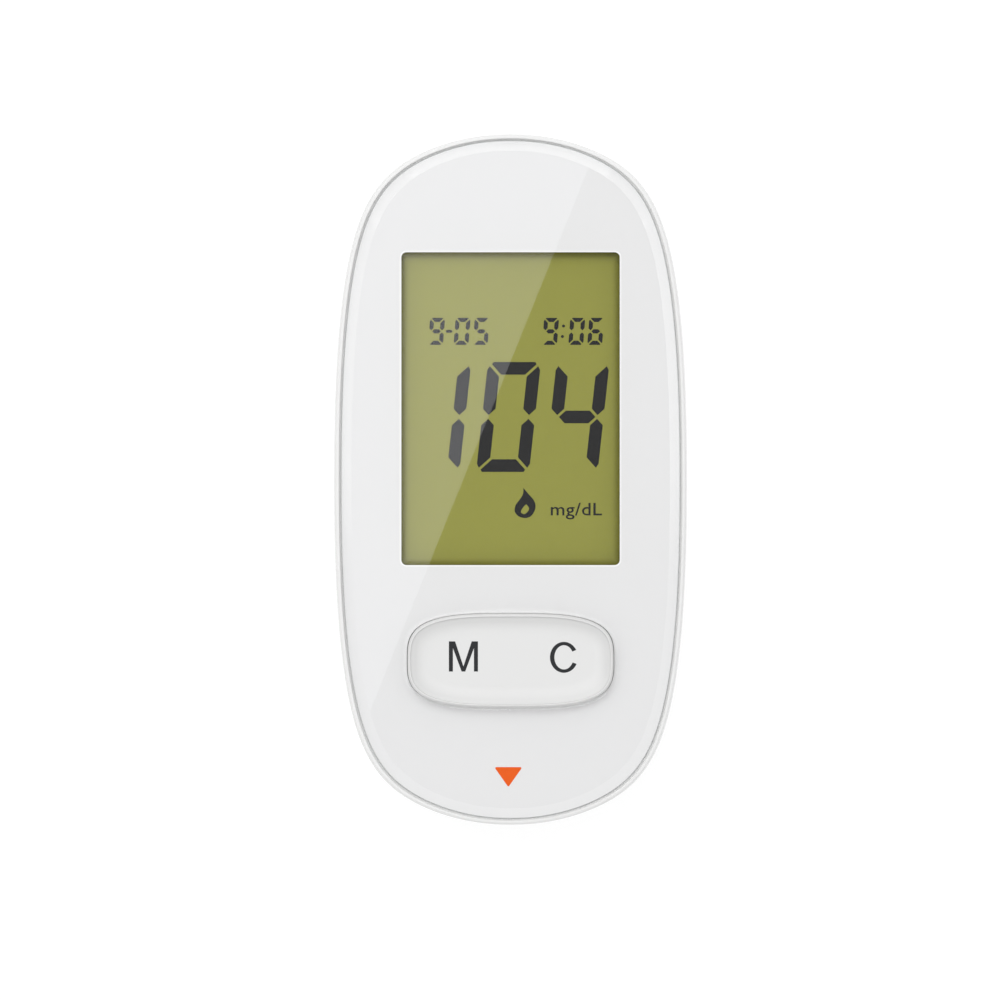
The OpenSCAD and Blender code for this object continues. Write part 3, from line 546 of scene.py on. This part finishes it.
def outsideOval(tree, place, oval):
    # how far outside the oval a place lies, in mm, along the line from the oval's middle
    power = oval["form"][0]
    centred = addNode(tree, "VectorMath", {"operation": "SUBTRACT", 1: (0, oval["centreY"] * mm, 0)},
                      {0: place})
    parts = addNode(tree, "SeparateXYZ", links={"Vector": centred.outputs[0]})
    flat = addNode(tree, "CombineXYZ", links={"X": parts.outputs["X"], "Y": parts.outputs["Y"]})
    reach = addNode(tree, "VectorMath", {"operation": "LENGTH"}, {0: flat.outputs[0]}).outputs["Value"]
    powers = []
    for axis, length in zip("XY", oval["size"]):
        share = calculate(tree, "MULTIPLY", parts.outputs[axis], 2 / (length * mm))
        powers.append(calculate(tree, "POWER", calculate(tree, "ABSOLUTE", share), power))
    # the reach divided by the total's root is the reach of the edge
    edge = calculate(tree, "POWER", calculate(tree, "ADD", *powers), -1 / power)
    beyond = calculate(tree, "MULTIPLY_ADD", edge, -1, 1)
    return calculate(tree, "MULTIPLY", calculate(tree, "MULTIPLY", reach, 1 / mm), beyond)


inkLooks = {
    # colour, its variation and the variation's width in mm, roughness, and a painted light that lifts the ink
    # round the key hole, with its width in mm
    "whiteScreenInk": dict(colour="#E9E9E9", shade="#E7E7E7", size=25, rough=0.6,
                           edge="#F3F3F3", edgeWidth=1),
    "windowBorderInk": dict(colour="#F9F9F8", shade="#F7F7F6", size=3, rough=0.6),
    "liquidCrystalDark": dict(colour="#1B1B1C", shade="#171718", size=0.4, rough=0.6),
    "darkPadPrint": dict(colour="#343537", shade="#2D2E30", size=0.3, rough=0.5),
    "orangeScreenInk": dict(colour="#F0600E", shade="#E85B0C", size=0.4, rough=0.5),
}


def printedInk(name, look):
    # screen or pad printed ink: matt and even, with the faint unevenness of the printing mesh
    material, tree = newMaterial(name)
    place = nodePlace(tree)
    tone = blendColours(tree, noise(tree, place, look["size"]), look["colour"], look["shade"])
    if "edge" in look:
        # painted light: the ink is painted lighter round the key hole, which lessens the key's shadow on it
        paintedLightShare = smoothStep(tree, outsideOval(tree, place, keyOval), look["edgeWidth"], 0)
        tone = blendColours(tree, paintedLightShare, tone, look["edge"])
    shader = addNode(tree, "BsdfPrincipled", {"Roughness": look["rough"], "Specular IOR Level": 0.1},
                     {"Base Color": tone})
    return finishMaterial(material, tree, shader)


finishes.update({name: printedInk(name, look) for name, look in inkLooks.items()})


def displayFilm(name, opening, shadeFrom=-0.35, shadeTo=1.1):
    # reflective liquid crystal panel: olive film with a fine sparkle, darker where the window shades it
    material, tree = newMaterial(name)
    place = nodePlace(tree)
    lit = smoothStep(tree, insideWindow(tree, place, opening), shadeFrom, shadeTo)
    inner = blendColours(tree, noise(tree, place, 18, 2), "#9F9F49", "#9B9B47")
    tone = blendColours(tree, lit, "#6C6A17", inner)
    speckled = blendColours(tree, noise(tree, place, 0.35, 3, 0.7), tone, "#F2F2EE", "MULTIPLY")
    settings = {"Roughness": 0.6, "Specular IOR Level": 0.02, "Coat Weight": 0.4, "Coat Roughness": 0.01}
    shader = addNode(tree, "BsdfPrincipled", settings, {"Base Color": speckled})
    return finishMaterial(material, tree, shader)


def boardLaminate(name):
    # glass-epoxy circuit board under green solder resist: copper tracks show as raised paler lines
    material, tree = newMaterial(name)
    place = nodePlace(tree)
    layout = {"Scale": 1 / (6 * mm), "Mortar Size": 0.02, "Mortar Smooth": 0.2, "Brick Width": 0.9,
              "Row Height": 0.2}
    tracks = addNode(tree, "TexBrick", layout, {"Vector": place}).outputs["Fac"]
    tone = blendColours(tree, tracks, "#14512F", "#2B7A4A")
    bump = addNode(tree, "Bump", {"Strength": 0.5, "Distance": 0.03 * mm}, {"Height": tracks})
    gloss = between(tree, noise(tree, place, 4), 0.25, 0.4)
    return surface(material, tree, {"IOR": 1.5}, tone, gloss, bump)


def layeredRubber(name):
    # conductive rubber strip: pink silicone crossed by thin black carbon layers, drawn 0.5 mm apart to show
    material, tree = newMaterial(name)
    place = nodePlace(tree)
    waves = addNode(tree, "TexWave", {"Scale": 1 / (3.1 * mm), "Distortion": 0.0, "Detail": 0.0},
                    {"Vector": place}).outputs["Fac"]
    tone = blendColours(tree, calculate(tree, "GREATER_THAN", waves, 0.7), "#D98C94", "#2A2628")
    return surface(material, tree, {"IOR": 1.43}, tone, between(tree, noise(tree, place, 1), 0.5, 0.65))


def reflectorFilm(name):
    # brushed aluminised film behind the display: a satin metal with a pale olive cast
    material, tree = newMaterial(name)
    place = nodePlace(tree)
    grain = noise(tree, place, 0.2, 3, 0.7)
    tone = blendColours(tree, grain, "#A9AA6A", "#9A9B5C")
    return surface(material, tree, {"Metallic": 0.8}, tone, between(tree, grain, 0.35, 0.5))


window = dict(centreY=9.6, size=(29.6, 42.4), radius=0.7)
finishes["clearAcrylic"] = clearSheet("clearAcrylic", "#FFFFFF")
finishes["bondedAcrylic"] = clearSheet("bondedAcrylic", "#FFFFFF", window)
finishes["bevelAcrylic"] = clearSheet("bevelAcrylic", "#FFFFFF", polish=(0.08, 0.12))
finishes["milledAcrylic"] = milledEdge("milledAcrylic", "#EAEBEB")
finishes["sodaLimeGlass"] = clearSheet("sodaLimeGlass", "#EEF6EE")
finishes["displayFilm"] = displayFilm("displayFilm", window)
finishes["boardLaminate"] = boardLaminate("boardLaminate")
finishes["layeredRubber"] = layeredRubber("layeredRubber")
finishes["reflectorFilm"] = reflectorFilm("reflectorFilm")
print("materials made:", len(finishes))

# shells and printed layer

refinedShell("rearShell", "rear_housing", [caseOval], finishes["whiteAbs"], backEdge)
refinedShell("frontShell", "front_housing", [caseOval, keyOval], finishes["glossAbs"])
refinedShell("printedLayer", "faceplate_print", [caseOval, keyOval], finishes["whiteScreenInk"],
             closer=(-0.2, (-0.1, -0.04)))

# faceplate: clear bevelled plate, border of the window and mark for the strip port

faceplate = dict(edgeRun=1.5, edgeRise=0.4, edgeRadius=0.32, edgeSweep=75, steps=288, edgeSteps=10, lift=0.02,
                 keyGap=0.2, keySteps=216, holeRadius=0.15, holeFacets=3, keyRegion=(16, 8), smoothAngle=12,
                 borderWidth=0.22, inkHeight=0.01, markX=-0.3, markTop=-38.98, markTip=-41.69, markWidth=3.83,
                 markRadius=0.15)
# the upward share of a face's normal tells the plate's wall, its cut edge, its bevel and its flat top apart
tilts = dict(down=-0.9, cutEdge=0.1, bevel=0.93, flat=0.99)


def roundedCorners(corners, radius, steps=5):
    # a closed outline with each corner rounded
    points = []
    for i, corner in enumerate(corners):
        here = Vector(corner)
        before = (Vector(corners[i - 1]) - here).normalized()
        after = (Vector(corners[(i + 1) % len(corners)]) - here).normalized()
        halfAngle = before.angle(after) / 2
        reach = radius / math.tan(halfAngle)
        centre = here + (before + after).normalized() * radius / math.sin(halfAngle)
        start, end = here + before * reach - centre, here + after * reach - centre
        sweep = start.angle_signed(end)
        points += [tuple(centre + Matrix.Rotation(-sweep * k / steps, 2) @ start) for k in range(steps + 1)]
    return points


def makeFaceplate(look):
    low, high = [Vector(v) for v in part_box("faceplate")]
    size = (high.x - low.x, high.y - low.y)
    radius = look["edgeRadius"] * mm
    bottom = low.z + look["lift"] * mm
    bevelZ = high.z - look["edgeRise"] * (1 - look["edgeRadius"] / look["edgeRun"]) * mm
    profile = [(0, bottom)]
    for i in range(look["edgeSteps"] + 1):
        turn = math.radians(look["edgeSweep"]) * i / look["edgeSteps"]
        profile.append((radius * (1 - math.cos(turn)), bevelZ - radius * (1 - math.sin(turn))))
    profile.append((look["edgeRun"] * mm, high.z))
    piece = meshPiece("clearFaceplate", ovalLoft(size, caseOval["form"], profile, look["steps"]),
                      finishes["clearAcrylic"])
    keyHole = [(s + 2 * look["keyGap"]) * mm for s in keyOval["size"]]
    easing = look["holeRadius"] * mm
    holeProfile = [(0, bottom - mm)]
    for i in range(look["holeFacets"] + 1):
        turn = math.pi / 2 * i / look["holeFacets"]
        holeProfile.append((easing * (math.cos(turn) - 1), high.z - easing * (1 - math.sin(turn))))
    holeProfile.append((-easing, high.z + mm))
    combine(piece, ovalLoft(keyHole, keyOval["form"], holeProfile, look["keySteps"],
                            (0, keyOval["centreY"] * mm)), "DIFFERENCE")
    mesh = piece.data
    for finish in ("bondedAcrylic", "milledAcrylic", "bevelAcrylic"):
        mesh.materials.append(finishes[finish])
    bonded, milled, bevelled = 1, 2, 3
    for face in mesh.polygons:
        across, along = face.center.x / mm, face.center.y / mm - keyOval["centreY"]
        aroundKey = abs(across) < look["keyRegion"][0] and abs(along) < look["keyRegion"][1]
        if abs(face.center.z - bottom) < 5 * touching and face.normal.z < tilts["down"]:
            face.material_index = bonded
        elif tilts["cutEdge"] < face.normal.z < tilts["flat"]:
            cutEdge = face.normal.z < tilts["bevel"] and not aroundKey
            face.material_index = milled if cutEdge else bevelled
    smoothMesh(mesh, look["smoothAngle"])
    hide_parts("faceplate")

    printTop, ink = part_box("faceplate_print")[1][2], look["inkHeight"] * mm
    border = bmesh.new()
    wider = 2 * look["borderWidth"]
    outer = roundedRect([length + wider for length in window["size"]], window["radius"] + wider / 2)
    addShape(border, [outer, roundedRect(window["size"], window["radius"])], printTop, ink,
             (0, window["centreY"] * mm))
    meshPiece("windowBorder", border, finishes["windowBorderInk"])
    mark = bmesh.new()
    x, reach = look["markX"], look["markWidth"] / 2
    corners = [(x - reach, look["markTop"]), (x, look["markTip"]), (x + reach, look["markTop"])]
    addShape(mark, [roundedCorners(corners, look["markRadius"])], printTop, ink)
    meshPiece("stripPortMark", mark, finishes["orangeScreenInk"])


makeFaceplate(faceplate)
print("faceplate made")

# display: panel film and its segments

display = dict(filmCorner=0.3, inkHeight=0.015, dashX=-8.35, dotRadius=0.2, dots=((7.2, 0.72), (7.05, -0.7)),
               dropRaise=0.37, unitLeft=5.47, unitBaseline=-14.45, unitWidth=6.95, unitCapHeight=1.68,
               unitWeight=0.006, unitSpacing=1.04)
bigDigits = dict(height=14.93, width=7.2, stroke=1.72, gap=0.36, slant=6.2, y=-1.1,
                 places=(("1", -9.73), ("0", -0.27), ("4", 9.05)))
smallDigits = dict(height=3.67, width=2.02, stroke=0.56, gap=0.2, slant=4.5, y=10.53,
                   places=(("9", -10.05), ("0", -6.58), ("5", -3.98), ("9", 5.44), ("0", 9.0), ("6", 11.57)))
shownSegments = {"0": "abcdef", "1": "bc", "4": "bcfg", "5": "acdfg", "6": "acdefg", "9": "abcdfg"}
dashOutline = [(-0.5, 0), (-0.3, 0.2), (0.3, 0.2), (0.5, 0), (0.3, -0.2), (-0.3, -0.2)]
dropOutline = [(1.73, -11.1), (2.55, -12.05), (3.17, -12.79), (3.4, -13.5), (3.26, -14.23), (2.75, -14.96),
               (1.92, -15.2), (1.08, -14.96), (0.62, -14.43), (0.55, -14.03), (0.72, -13.4), (1.18, -12.78),
               (1.6, -12.15), (1.74, -11.63)]
dropHole = [(2.13, -13.32), (2.5, -13.82), (2.36, -14.3), (1.9, -14.66), (1.49, -14.5), (1.43, -14.23),
            (1.79, -13.65)]


def segmentShapes(width, height, stroke, gap):
    # seven bars in the usual order: a on top, b to f clockwise, g in the middle; their outer tips are clipped
    w, h, t, s = width / 2, height / 2, stroke, gap / math.sqrt(2)
    tip, clip = 0.3 * t, 0.18 * t
    top = [(-w + s + tip, h), (w - s - tip, h), (w - s - clip, h - clip), (w - s - t, h - t),
           (-w + s + t, h - t), (-w + s + clip, h - clip)]
    side = [(w - clip, h - s - clip), (w, h - s - 0.5 * t), (w, t / 2 + s), (w - t / 2, s),
            (w - t, t / 2 + s), (w - t, h - s - t)]
    middle = [(-w + t / 2 + s, 0), (-w + t + s, t / 2), (w - t - s, t / 2), (w - t / 2 - s, 0),
              (w - t - s, -t / 2), (-w + t + s, -t / 2)]

    def flipped(shape, across, up):
        return [(across * x, up * y) for x, y in shape]

    return dict(a=top, b=side, c=flipped(side, 1, -1), d=flipped(top, 1, -1), e=flipped(side, -1, -1),
                f=flipped(side, -1, 1), g=middle)


def addDigits(bm, look, bottom, thickness):
    y = (window["centreY"] + look["y"]) * mm
    bars = segmentShapes(look["width"], look["height"], look["stroke"], look["gap"])
    for digit, x in look["places"]:
        for bar in shownSegments[digit]:
            addShape(bm, [bars[bar]], bottom, thickness, (x * mm, y), look["slant"])
    return y


def smoothLoop(points, steps=4):
    # a closed curve through the points, with a sharp tip at the first one
    result = []
    count = len(points)
    for i in range(count):
        p1, p2 = Vector(points[i]), Vector(points[(i + 1) % count])
        p0 = p1 if i == 0 else Vector(points[i - 1])
        p3 = p2 if i == count - 1 else Vector(points[(i + 2) % count])
        for k in range(steps):
            t = k / steps
            result.append(tuple(0.5 * (2 * p1 + (p2 - p0) * t + (2 * p0 - 5 * p1 + 4 * p2 - p3) * t * t
                                       + (3 * p1 - p0 - 3 * p2 + p3) * t ** 3)))
    return result


def textMesh(words, left, baseline, width, capHeight, bottom, thickness, weight, spacing):
    # raised words, set to their width and cap height; the font's own capitals are 0.69 high
    fontCapHeight = 0.69
    curve = bpy.data.curves.new("words", "FONT")
    curve.body = words
    curve.extrude = 0.5
    curve.offset = weight
    curve.space_character = spacing
    curve.resolution_u = 3
    holder = bpy.data.objects.new("words", curve)
    scene.collection.objects.link(holder)
    graph = bpy.context.evaluated_depsgraph_get()
    mesh = bpy.data.meshes.new_from_object(holder.evaluated_get(graph))
    bpy.data.objects.remove(holder)
    bpy.data.curves.remove(curve)
    xs = [v.co.x for v in mesh.vertices]
    start = min(xs)
    scaleX, scaleY = width / (max(xs) - start), capHeight / fontCapHeight
    for v in mesh.vertices:
        v.co = ((left + (v.co.x - start) * scaleX) * mm, (baseline + v.co.y * scaleY) * mm,
                bottom + (v.co.z + 0.5) * thickness)
    bm = bmesh.new()
    bm.from_mesh(mesh)
    bmesh.ops.remove_doubles(bm, verts=bm.verts, dist=touching)
    bm.to_mesh(mesh)
    bm.free()
    return mesh


def makeDisplay(look):
    low, high = [Vector(v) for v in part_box("lcd_front_polariser")]
    filmTop = high.z
    centreY = window["centreY"]
    film = slab(roundedRect((high.x - low.x, high.y - low.y), look["filmCorner"] * mm), low.z, filmTop,
                (0, (low.y + high.y) / 2))
    piece = meshPiece("displayPanel", film, finishes["displayFilm"])
    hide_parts("lcd_front_polariser")

    ink = look["inkHeight"] * mm
    reading = bmesh.new()
    addDigits(reading, bigDigits, filmTop, ink)
    meshPiece("displayReading", reading, finishes["liquidCrystalDark"])

    clock = bmesh.new()
    y = addDigits(clock, smallDigits, filmTop, ink)
    addShape(clock, [dashOutline], filmTop, ink, (look["dashX"] * mm, y))
    radius = look["dotRadius"]
    dot = [(radius * math.cos(a), radius * math.sin(a)) for a in map(math.radians, range(0, 360, 15))]
    for dx, dy in look["dots"]:
        addShape(clock, [dot], filmTop, ink, (dx * mm, y + dy * mm))
    meshPiece("displayClock", clock, finishes["liquidCrystalDark"])

    drop = bmesh.new()
    addShape(drop, [smoothLoop(dropOutline), smoothLoop(dropHole)], filmTop, ink,
             (0, (centreY + look["dropRaise"]) * mm))
    meshPiece("displayDrop", drop, finishes["liquidCrystalDark"])
    unit = textMesh("mg/dL", look["unitLeft"], centreY + look["unitBaseline"], look["unitWidth"],
                    look["unitCapHeight"], filmTop, ink, look["unitWeight"], look["unitSpacing"])
    showMesh("displayUnit", unit, finishes["liquidCrystalDark"])


makeDisplay(display)
print("display made")

# rocker key: dished cap with a raised rim, its posts and pivot pins, and its two letters

rockerKey = dict(crest=0.32, innerEdge=((0.06, 0.01), (0.1, 0.05), (0.13, 0.14), (0.15, 0.27)),
                 rise=0.55, dish=0.65, edgeRun=2.9, skin=1.1, skirtZ=11.4,
                 steps=216, crestSteps=8, dishSteps=10,
                 postOffset=9, postRadius=1.6, postZ=10.9, postSink=0.3, postFacets=48,
                 pivotRadius=0.7, pivotZ=11.9, pivotLength=1.7, pivotSink=0.6, pivotFacets=32)
keyLetters = dict(inkHeight=0.012, height=4.08, width=3.93, stroke=0.54, shoulder=0.84, notch=0.91, foot=0.24,
                  dip=0.69, placeM=(-6.38, 0.55), placeC=(7.22, 0.43), arcOuter=(1.89, 2.09),
                  arcInner=(1.29, 1.64), arcFrom=28.5, arcTo=335, arcSteps=48)


def addRod(piece, radius, length, facets, middle, lying=False):
    # joins a round rod to the piece: it stands upright, or lies along Y
    rod = bmesh.new()
    bmesh.ops.create_cone(rod, cap_ends=True, segments=facets, radius1=radius * mm, radius2=radius * mm,
                          depth=length * mm)
    if lying:
        bmesh.ops.rotate(rod, verts=rod.verts, matrix=Matrix.Rotation(math.pi / 2, 3, "X"))
    bmesh.ops.translate(rod, verts=rod.verts, vec=Vector(middle) * mm)
    combine(piece, rod, "UNION")


def makeKey(look):
    # returns the height of the dish's floor, where the letters lie
    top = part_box("rocker_key")[1][2] / mm
    face = top - look["rise"]
    roof = top - look["dish"] - look["skin"]
    crest, run = look["crest"], look["edgeRun"]
    profile = [(look["skin"], roof), (look["skin"], look["skirtZ"]), (0, look["skirtZ"])]
    for i in range(look["crestSteps"] + 1):
        turn = math.pi / 2 * i / look["crestSteps"]
        profile.append((crest * (1 - math.cos(turn)), face + look["rise"] * math.sin(turn)))
    profile += [(crest + across, top - down) for across, down in look["innerEdge"]]
    crest, rim = profile[-1][0], top - profile[-1][1]
    # the dish falls from the rim as a parabola and ends level
    for i in range(1, look["dishSteps"] + 1):
        along = i / look["dishSteps"]
        down = 1 - (1 - along) ** 2
        profile.append((crest + (run - crest) * along, top - rim - (look["dish"] - rim) * down))
    centreY = keyOval["centreY"]
    bm = ovalLoft([s * mm for s in keyOval["size"]], keyOval["form"], [(i * mm, z * mm) for i, z in profile],
                  look["steps"], (0, centreY * mm))
    piece = meshPiece("rockerKeyCap", bm, finishes["keyAbs"], body="rocker_key")
    postTop = roof + look["postSink"]
    pinLength = look["pivotLength"] + look["pivotSink"]
    pinMiddle = keyOval["size"][1] / 2 - look["pivotSink"] + pinLength / 2
    for side in (-1, 1):
        addRod(piece, look["postRadius"], postTop - look["postZ"], look["postFacets"],
               (side * look["postOffset"], centreY, (postTop + look["postZ"]) / 2))
        addRod(piece, look["pivotRadius"], pinLength, look["pivotFacets"],
               (0, centreY + side * pinMiddle, look["pivotZ"]), lying=True)
    smoothMesh(piece.data, creaseAngle)
    softenFlats(piece.data)
    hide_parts("rocker_key")
    return (top - look["dish"]) * mm


def makeLetters(look, bottom):
    letters = bmesh.new()
    centreY, ink = keyOval["centreY"], look["inkHeight"] * mm
    w, h, t = look["width"] / 2, look["height"], look["stroke"]
    right = [(w - look["shoulder"], h), (w, h), (w, 0), (w - t, 0), (w - t, h - look["notch"]),
             (look["foot"], 0)]
    shapeM = [(0, look["dip"])] + right + [(-x, y) for x, y in right[::-1]]
    x, y = look["placeM"]
    addShape(letters, [shapeM], bottom, ink, (x * mm, (centreY + y - h / 2) * mm))
    turns = [math.radians(look["arcFrom"] + (look["arcTo"] - look["arcFrom"]) * i / look["arcSteps"])
             for i in range(look["arcSteps"] + 1)]
    outer, inner = [[(look[arc][0] * math.cos(a), look[arc][1] * math.sin(a)) for a in turns]
                    for arc in ("arcOuter", "arcInner")]
    x, y = look["placeC"]
    addShape(letters, [outer + inner[::-1]], bottom, ink, (x * mm, (centreY + y) * mm))
    meshPiece("keyLetters", letters, finishes["darkPadPrint"], body="rocker_key")


makeLetters(keyLetters, makeKey(rockerKey))
print("key made")

# carried-over nodes

nodeFinishes = {
    "whiteAbs": ("battery_door", "door_latch", "ejector_button"),
    "naturalAbs": ("lcd_frame", "strip_connector"),
    "acetal": ("ejector_carriage",),
    "blackAbs": ("sounder",),
    "epoxyPackage": ("microcontroller", "memory_chip"),
    "greySilicone": ("key_mat",),
    "ceramicPart": ("capacitors",),
    "adhesiveTape": ("faceplate_tape",),
    "foamGasket": ("lcd_gasket",),
    "sodaLimeGlass": ("lcd_front_glass", "lcd_back_glass"),
    "reflectorFilm": ("lcd_reflector",),
    "layeredRubber": ("zebra_connector",),
    "boardLaminate": ("main_board",),
    "nickelSteel": ("coin_cell", "crystal"),
    "springSteel": ("ejector_spring",),
    "zincSteel": ("case_screws", "board_screws"),
    "goldPlate": ("connector_contacts", "battery_contact_positive", "battery_contact_negative"),
}
for finish, nodeNames in nodeFinishes.items():
    dress(finishes[finish], nodeNames)
print("nodes dressed")

# camera and studio

camera = dict(lens=238.5, sensor=36, height=912, lookAt=(-1.43, -2.78), clip=(50, 20000))
studio = dict(worldFill=0.72, overheadHeight=1500, overheadTilt=21.9, overheadSize=(640, 1000),
              overheadRadiance=1.0, overheadTint=(0.99, 1, 1.06), overheadEdge=(-2.55, 9.6),
              cardSize=(1300, 1100), cardGap=20, cardGrey=0.3)
# an arch of soft boxes over the top end, from the right side to the left: it shows in the faceplate's bevel
archBoxes = dict(radius=690, height=1040, middleY=-12, size=(372, 220),
                 radiances=(1.1, 1.1, 2.2, 2.4, 1.7, 1.4))
# two more beyond the top left corner, one low and one high: they model the dish of the key
modellingBoxes = {
    "lowBox": dict(place=(-430, 800, 900), size=(700, 300), radiance=0.9),
    "highBox": dict(place=(-150, 380, 1060), size=(500, 250), radiance=3.7),
}
tableLook = dict(size=(8000, 8000), gap=0.02, seenGlow=0.84, seenMatt=0.22, glow=0.25, matt=0.55)


def makeCamera(look):
    data = bpy.data.cameras.new("camera")
    data.lens = look["lens"]
    data.sensor_width = look["sensor"]
    data.clip_start, data.clip_end = [distance * mm for distance in look["clip"]]
    eye = bpy.data.objects.new("camera", data)
    eye.location = (look["lookAt"][0] * mm, look["lookAt"][1] * mm, look["height"] * mm)
    scene.collection.objects.link(eye)
    scene.camera = eye


def seenDirectly(tree):
    # 1 for rays from the camera, mirrors and clear plastic, 0 for rays that carry light
    path = addNode(tree, "LightPath").outputs
    either = calculate(tree, "MAXIMUM", path["Is Camera Ray"], path["Is Glossy Ray"])
    return calculate(tree, "MAXIMUM", either, path["Is Transmission Ray"])


def makeWorld(look):
    world = bpy.data.worlds.new("studio")
    world.use_nodes = True
    tree = world.node_tree
    tree.nodes.clear()
    strength = between(tree, seenDirectly(tree), look["worldFill"], 1)
    glow = addNode(tree, "Background", {"Color": white}, {"Strength": strength})
    addNode(tree, "OutputWorld", links={"Surface": glow.outputs[0]})
    scene.world = world


def areaLight(name, size, radiance):
    data = bpy.data.lights.new(name, "AREA")
    data.shape = "RECTANGLE"
    data.size, data.size_y = size[0] * mm, size[1] * mm
    data.energy = radiance * math.pi * data.size * data.size_y
    lamp = bpy.data.objects.new(name, data)
    scene.collection.objects.link(lamp)
    return lamp


def makeLamps(look):
    # the overhead box mirrors in the faceplate: its right-hand edge crosses the display on a slant
    eye = Vector((camera["lookAt"][0], camera["lookAt"][1], camera["height"]))
    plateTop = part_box("faceplate")[1][2] / mm
    reach = 1 + (look["overheadHeight"] - plateTop) / (camera["height"] - plateTop)
    edgeX = eye.x + (look["overheadEdge"][0] - eye.x) * reach
    edgeY = eye.y + (look["overheadEdge"][1] - eye.y) * reach
    tilt = math.radians(look["overheadTilt"])
    halfWidth = look["overheadSize"][0] / 2
    overhead = areaLight("overheadBox", look["overheadSize"], look["overheadRadiance"])
    overhead.location = Vector((edgeX - halfWidth * math.cos(tilt), edgeY + halfWidth * math.sin(tilt),
                                look["overheadHeight"])) * mm
    overhead.rotation_euler = (0, 0, -tilt)
    overhead.data.color = look["overheadTint"]
    boxes = [(name, box["place"], box["size"], box["radiance"]) for name, box in modellingBoxes.items()]
    radius = archBoxes["radius"]
    for i, radiance in enumerate(archBoxes["radiances"]):
        turn = math.pi * (i + 0.5) / len(archBoxes["radiances"])
        place = (radius * math.cos(turn), archBoxes["middleY"] + radius * math.sin(turn), archBoxes["height"])
        boxes.append((f"archBox{i + 1}", place, archBoxes["size"], radiance))
    for name, place, size, radiance in boxes:
        lamp = areaLight(name, size, radiance)
        lamp.location = Vector(place) * mm
        lamp.rotation_mode = "QUATERNION"
        lamp.rotation_quaternion = (-lamp.location).to_track_quat("-Z", "Y")


def studioSheet(name, size, height, material):
    # level sheet over or under the object, facing up
    bm = bmesh.new()
    bmesh.ops.create_grid(bm, x_segments=4, y_segments=4, size=0.5)
    bmesh.ops.scale(bm, verts=bm.verts, vec=(size[0] * mm, size[1] * mm, 1))
    mesh = meshFrom(name, bm)
    mesh.materials.append(material)
    sheet = bpy.data.objects.new(name, mesh)
    sheet.location.z = height * mm
    scene.collection.objects.link(sheet)
    return sheet


def makeCard(look):
    # grey card above the boxes, which only the mirrors see: it keeps the right of the display dark
    material, tree = newMaterial("greyCard")
    finishMaterial(material, tree, addNode(tree, "Emission", {"Color": white, "Strength": look["cardGrey"]}))
    card = studioSheet("greyCard", look["cardSize"], look["overheadHeight"] + look["cardGap"], material)
    card.visible_camera = card.visible_diffuse = card.visible_shadow = False


def makeTable(look):
    # pale table: white where it is seen, a matt bounce for the light, and the object's soft shadow kept;
    # from below it is clear, and its faint glow lights the back of the object
    material, tree = newMaterial("paleTable")
    direct = seenDirectly(tree)
    glow = addNode(tree, "Emission", {"Color": white},
                   {"Strength": between(tree, direct, look["glow"], look["seenGlow"])})
    shade = between(tree, direct, look["matt"], look["seenMatt"])
    tone = addNode(tree, "CombineColor", links={0: shade, 1: shade, 2: shade})
    matte = addNode(tree, "BsdfDiffuse", links={"Color": tone.outputs[0]})
    both = addNode(tree, "AddShader", links={0: glow.outputs[0], 1: matte.outputs[0]})
    fromBelow = addNode(tree, "NewGeometry").outputs["Backfacing"]
    clear = addNode(tree, "BsdfTransparent", {"Color": white})
    mix = addNode(tree, "MixShader", links={0: fromBelow, 1: both.outputs[0], 2: clear.outputs[0]})
    finishMaterial(material, tree, mix)
    table = studioSheet("table", look["size"], -look["gap"], material)


makeCamera(camera)
makeWorld(studio)
makeLamps(studio)
makeCard(studio)
makeTable(tableLook)
scene.view_settings.view_transform = "Standard"
print("studio made")
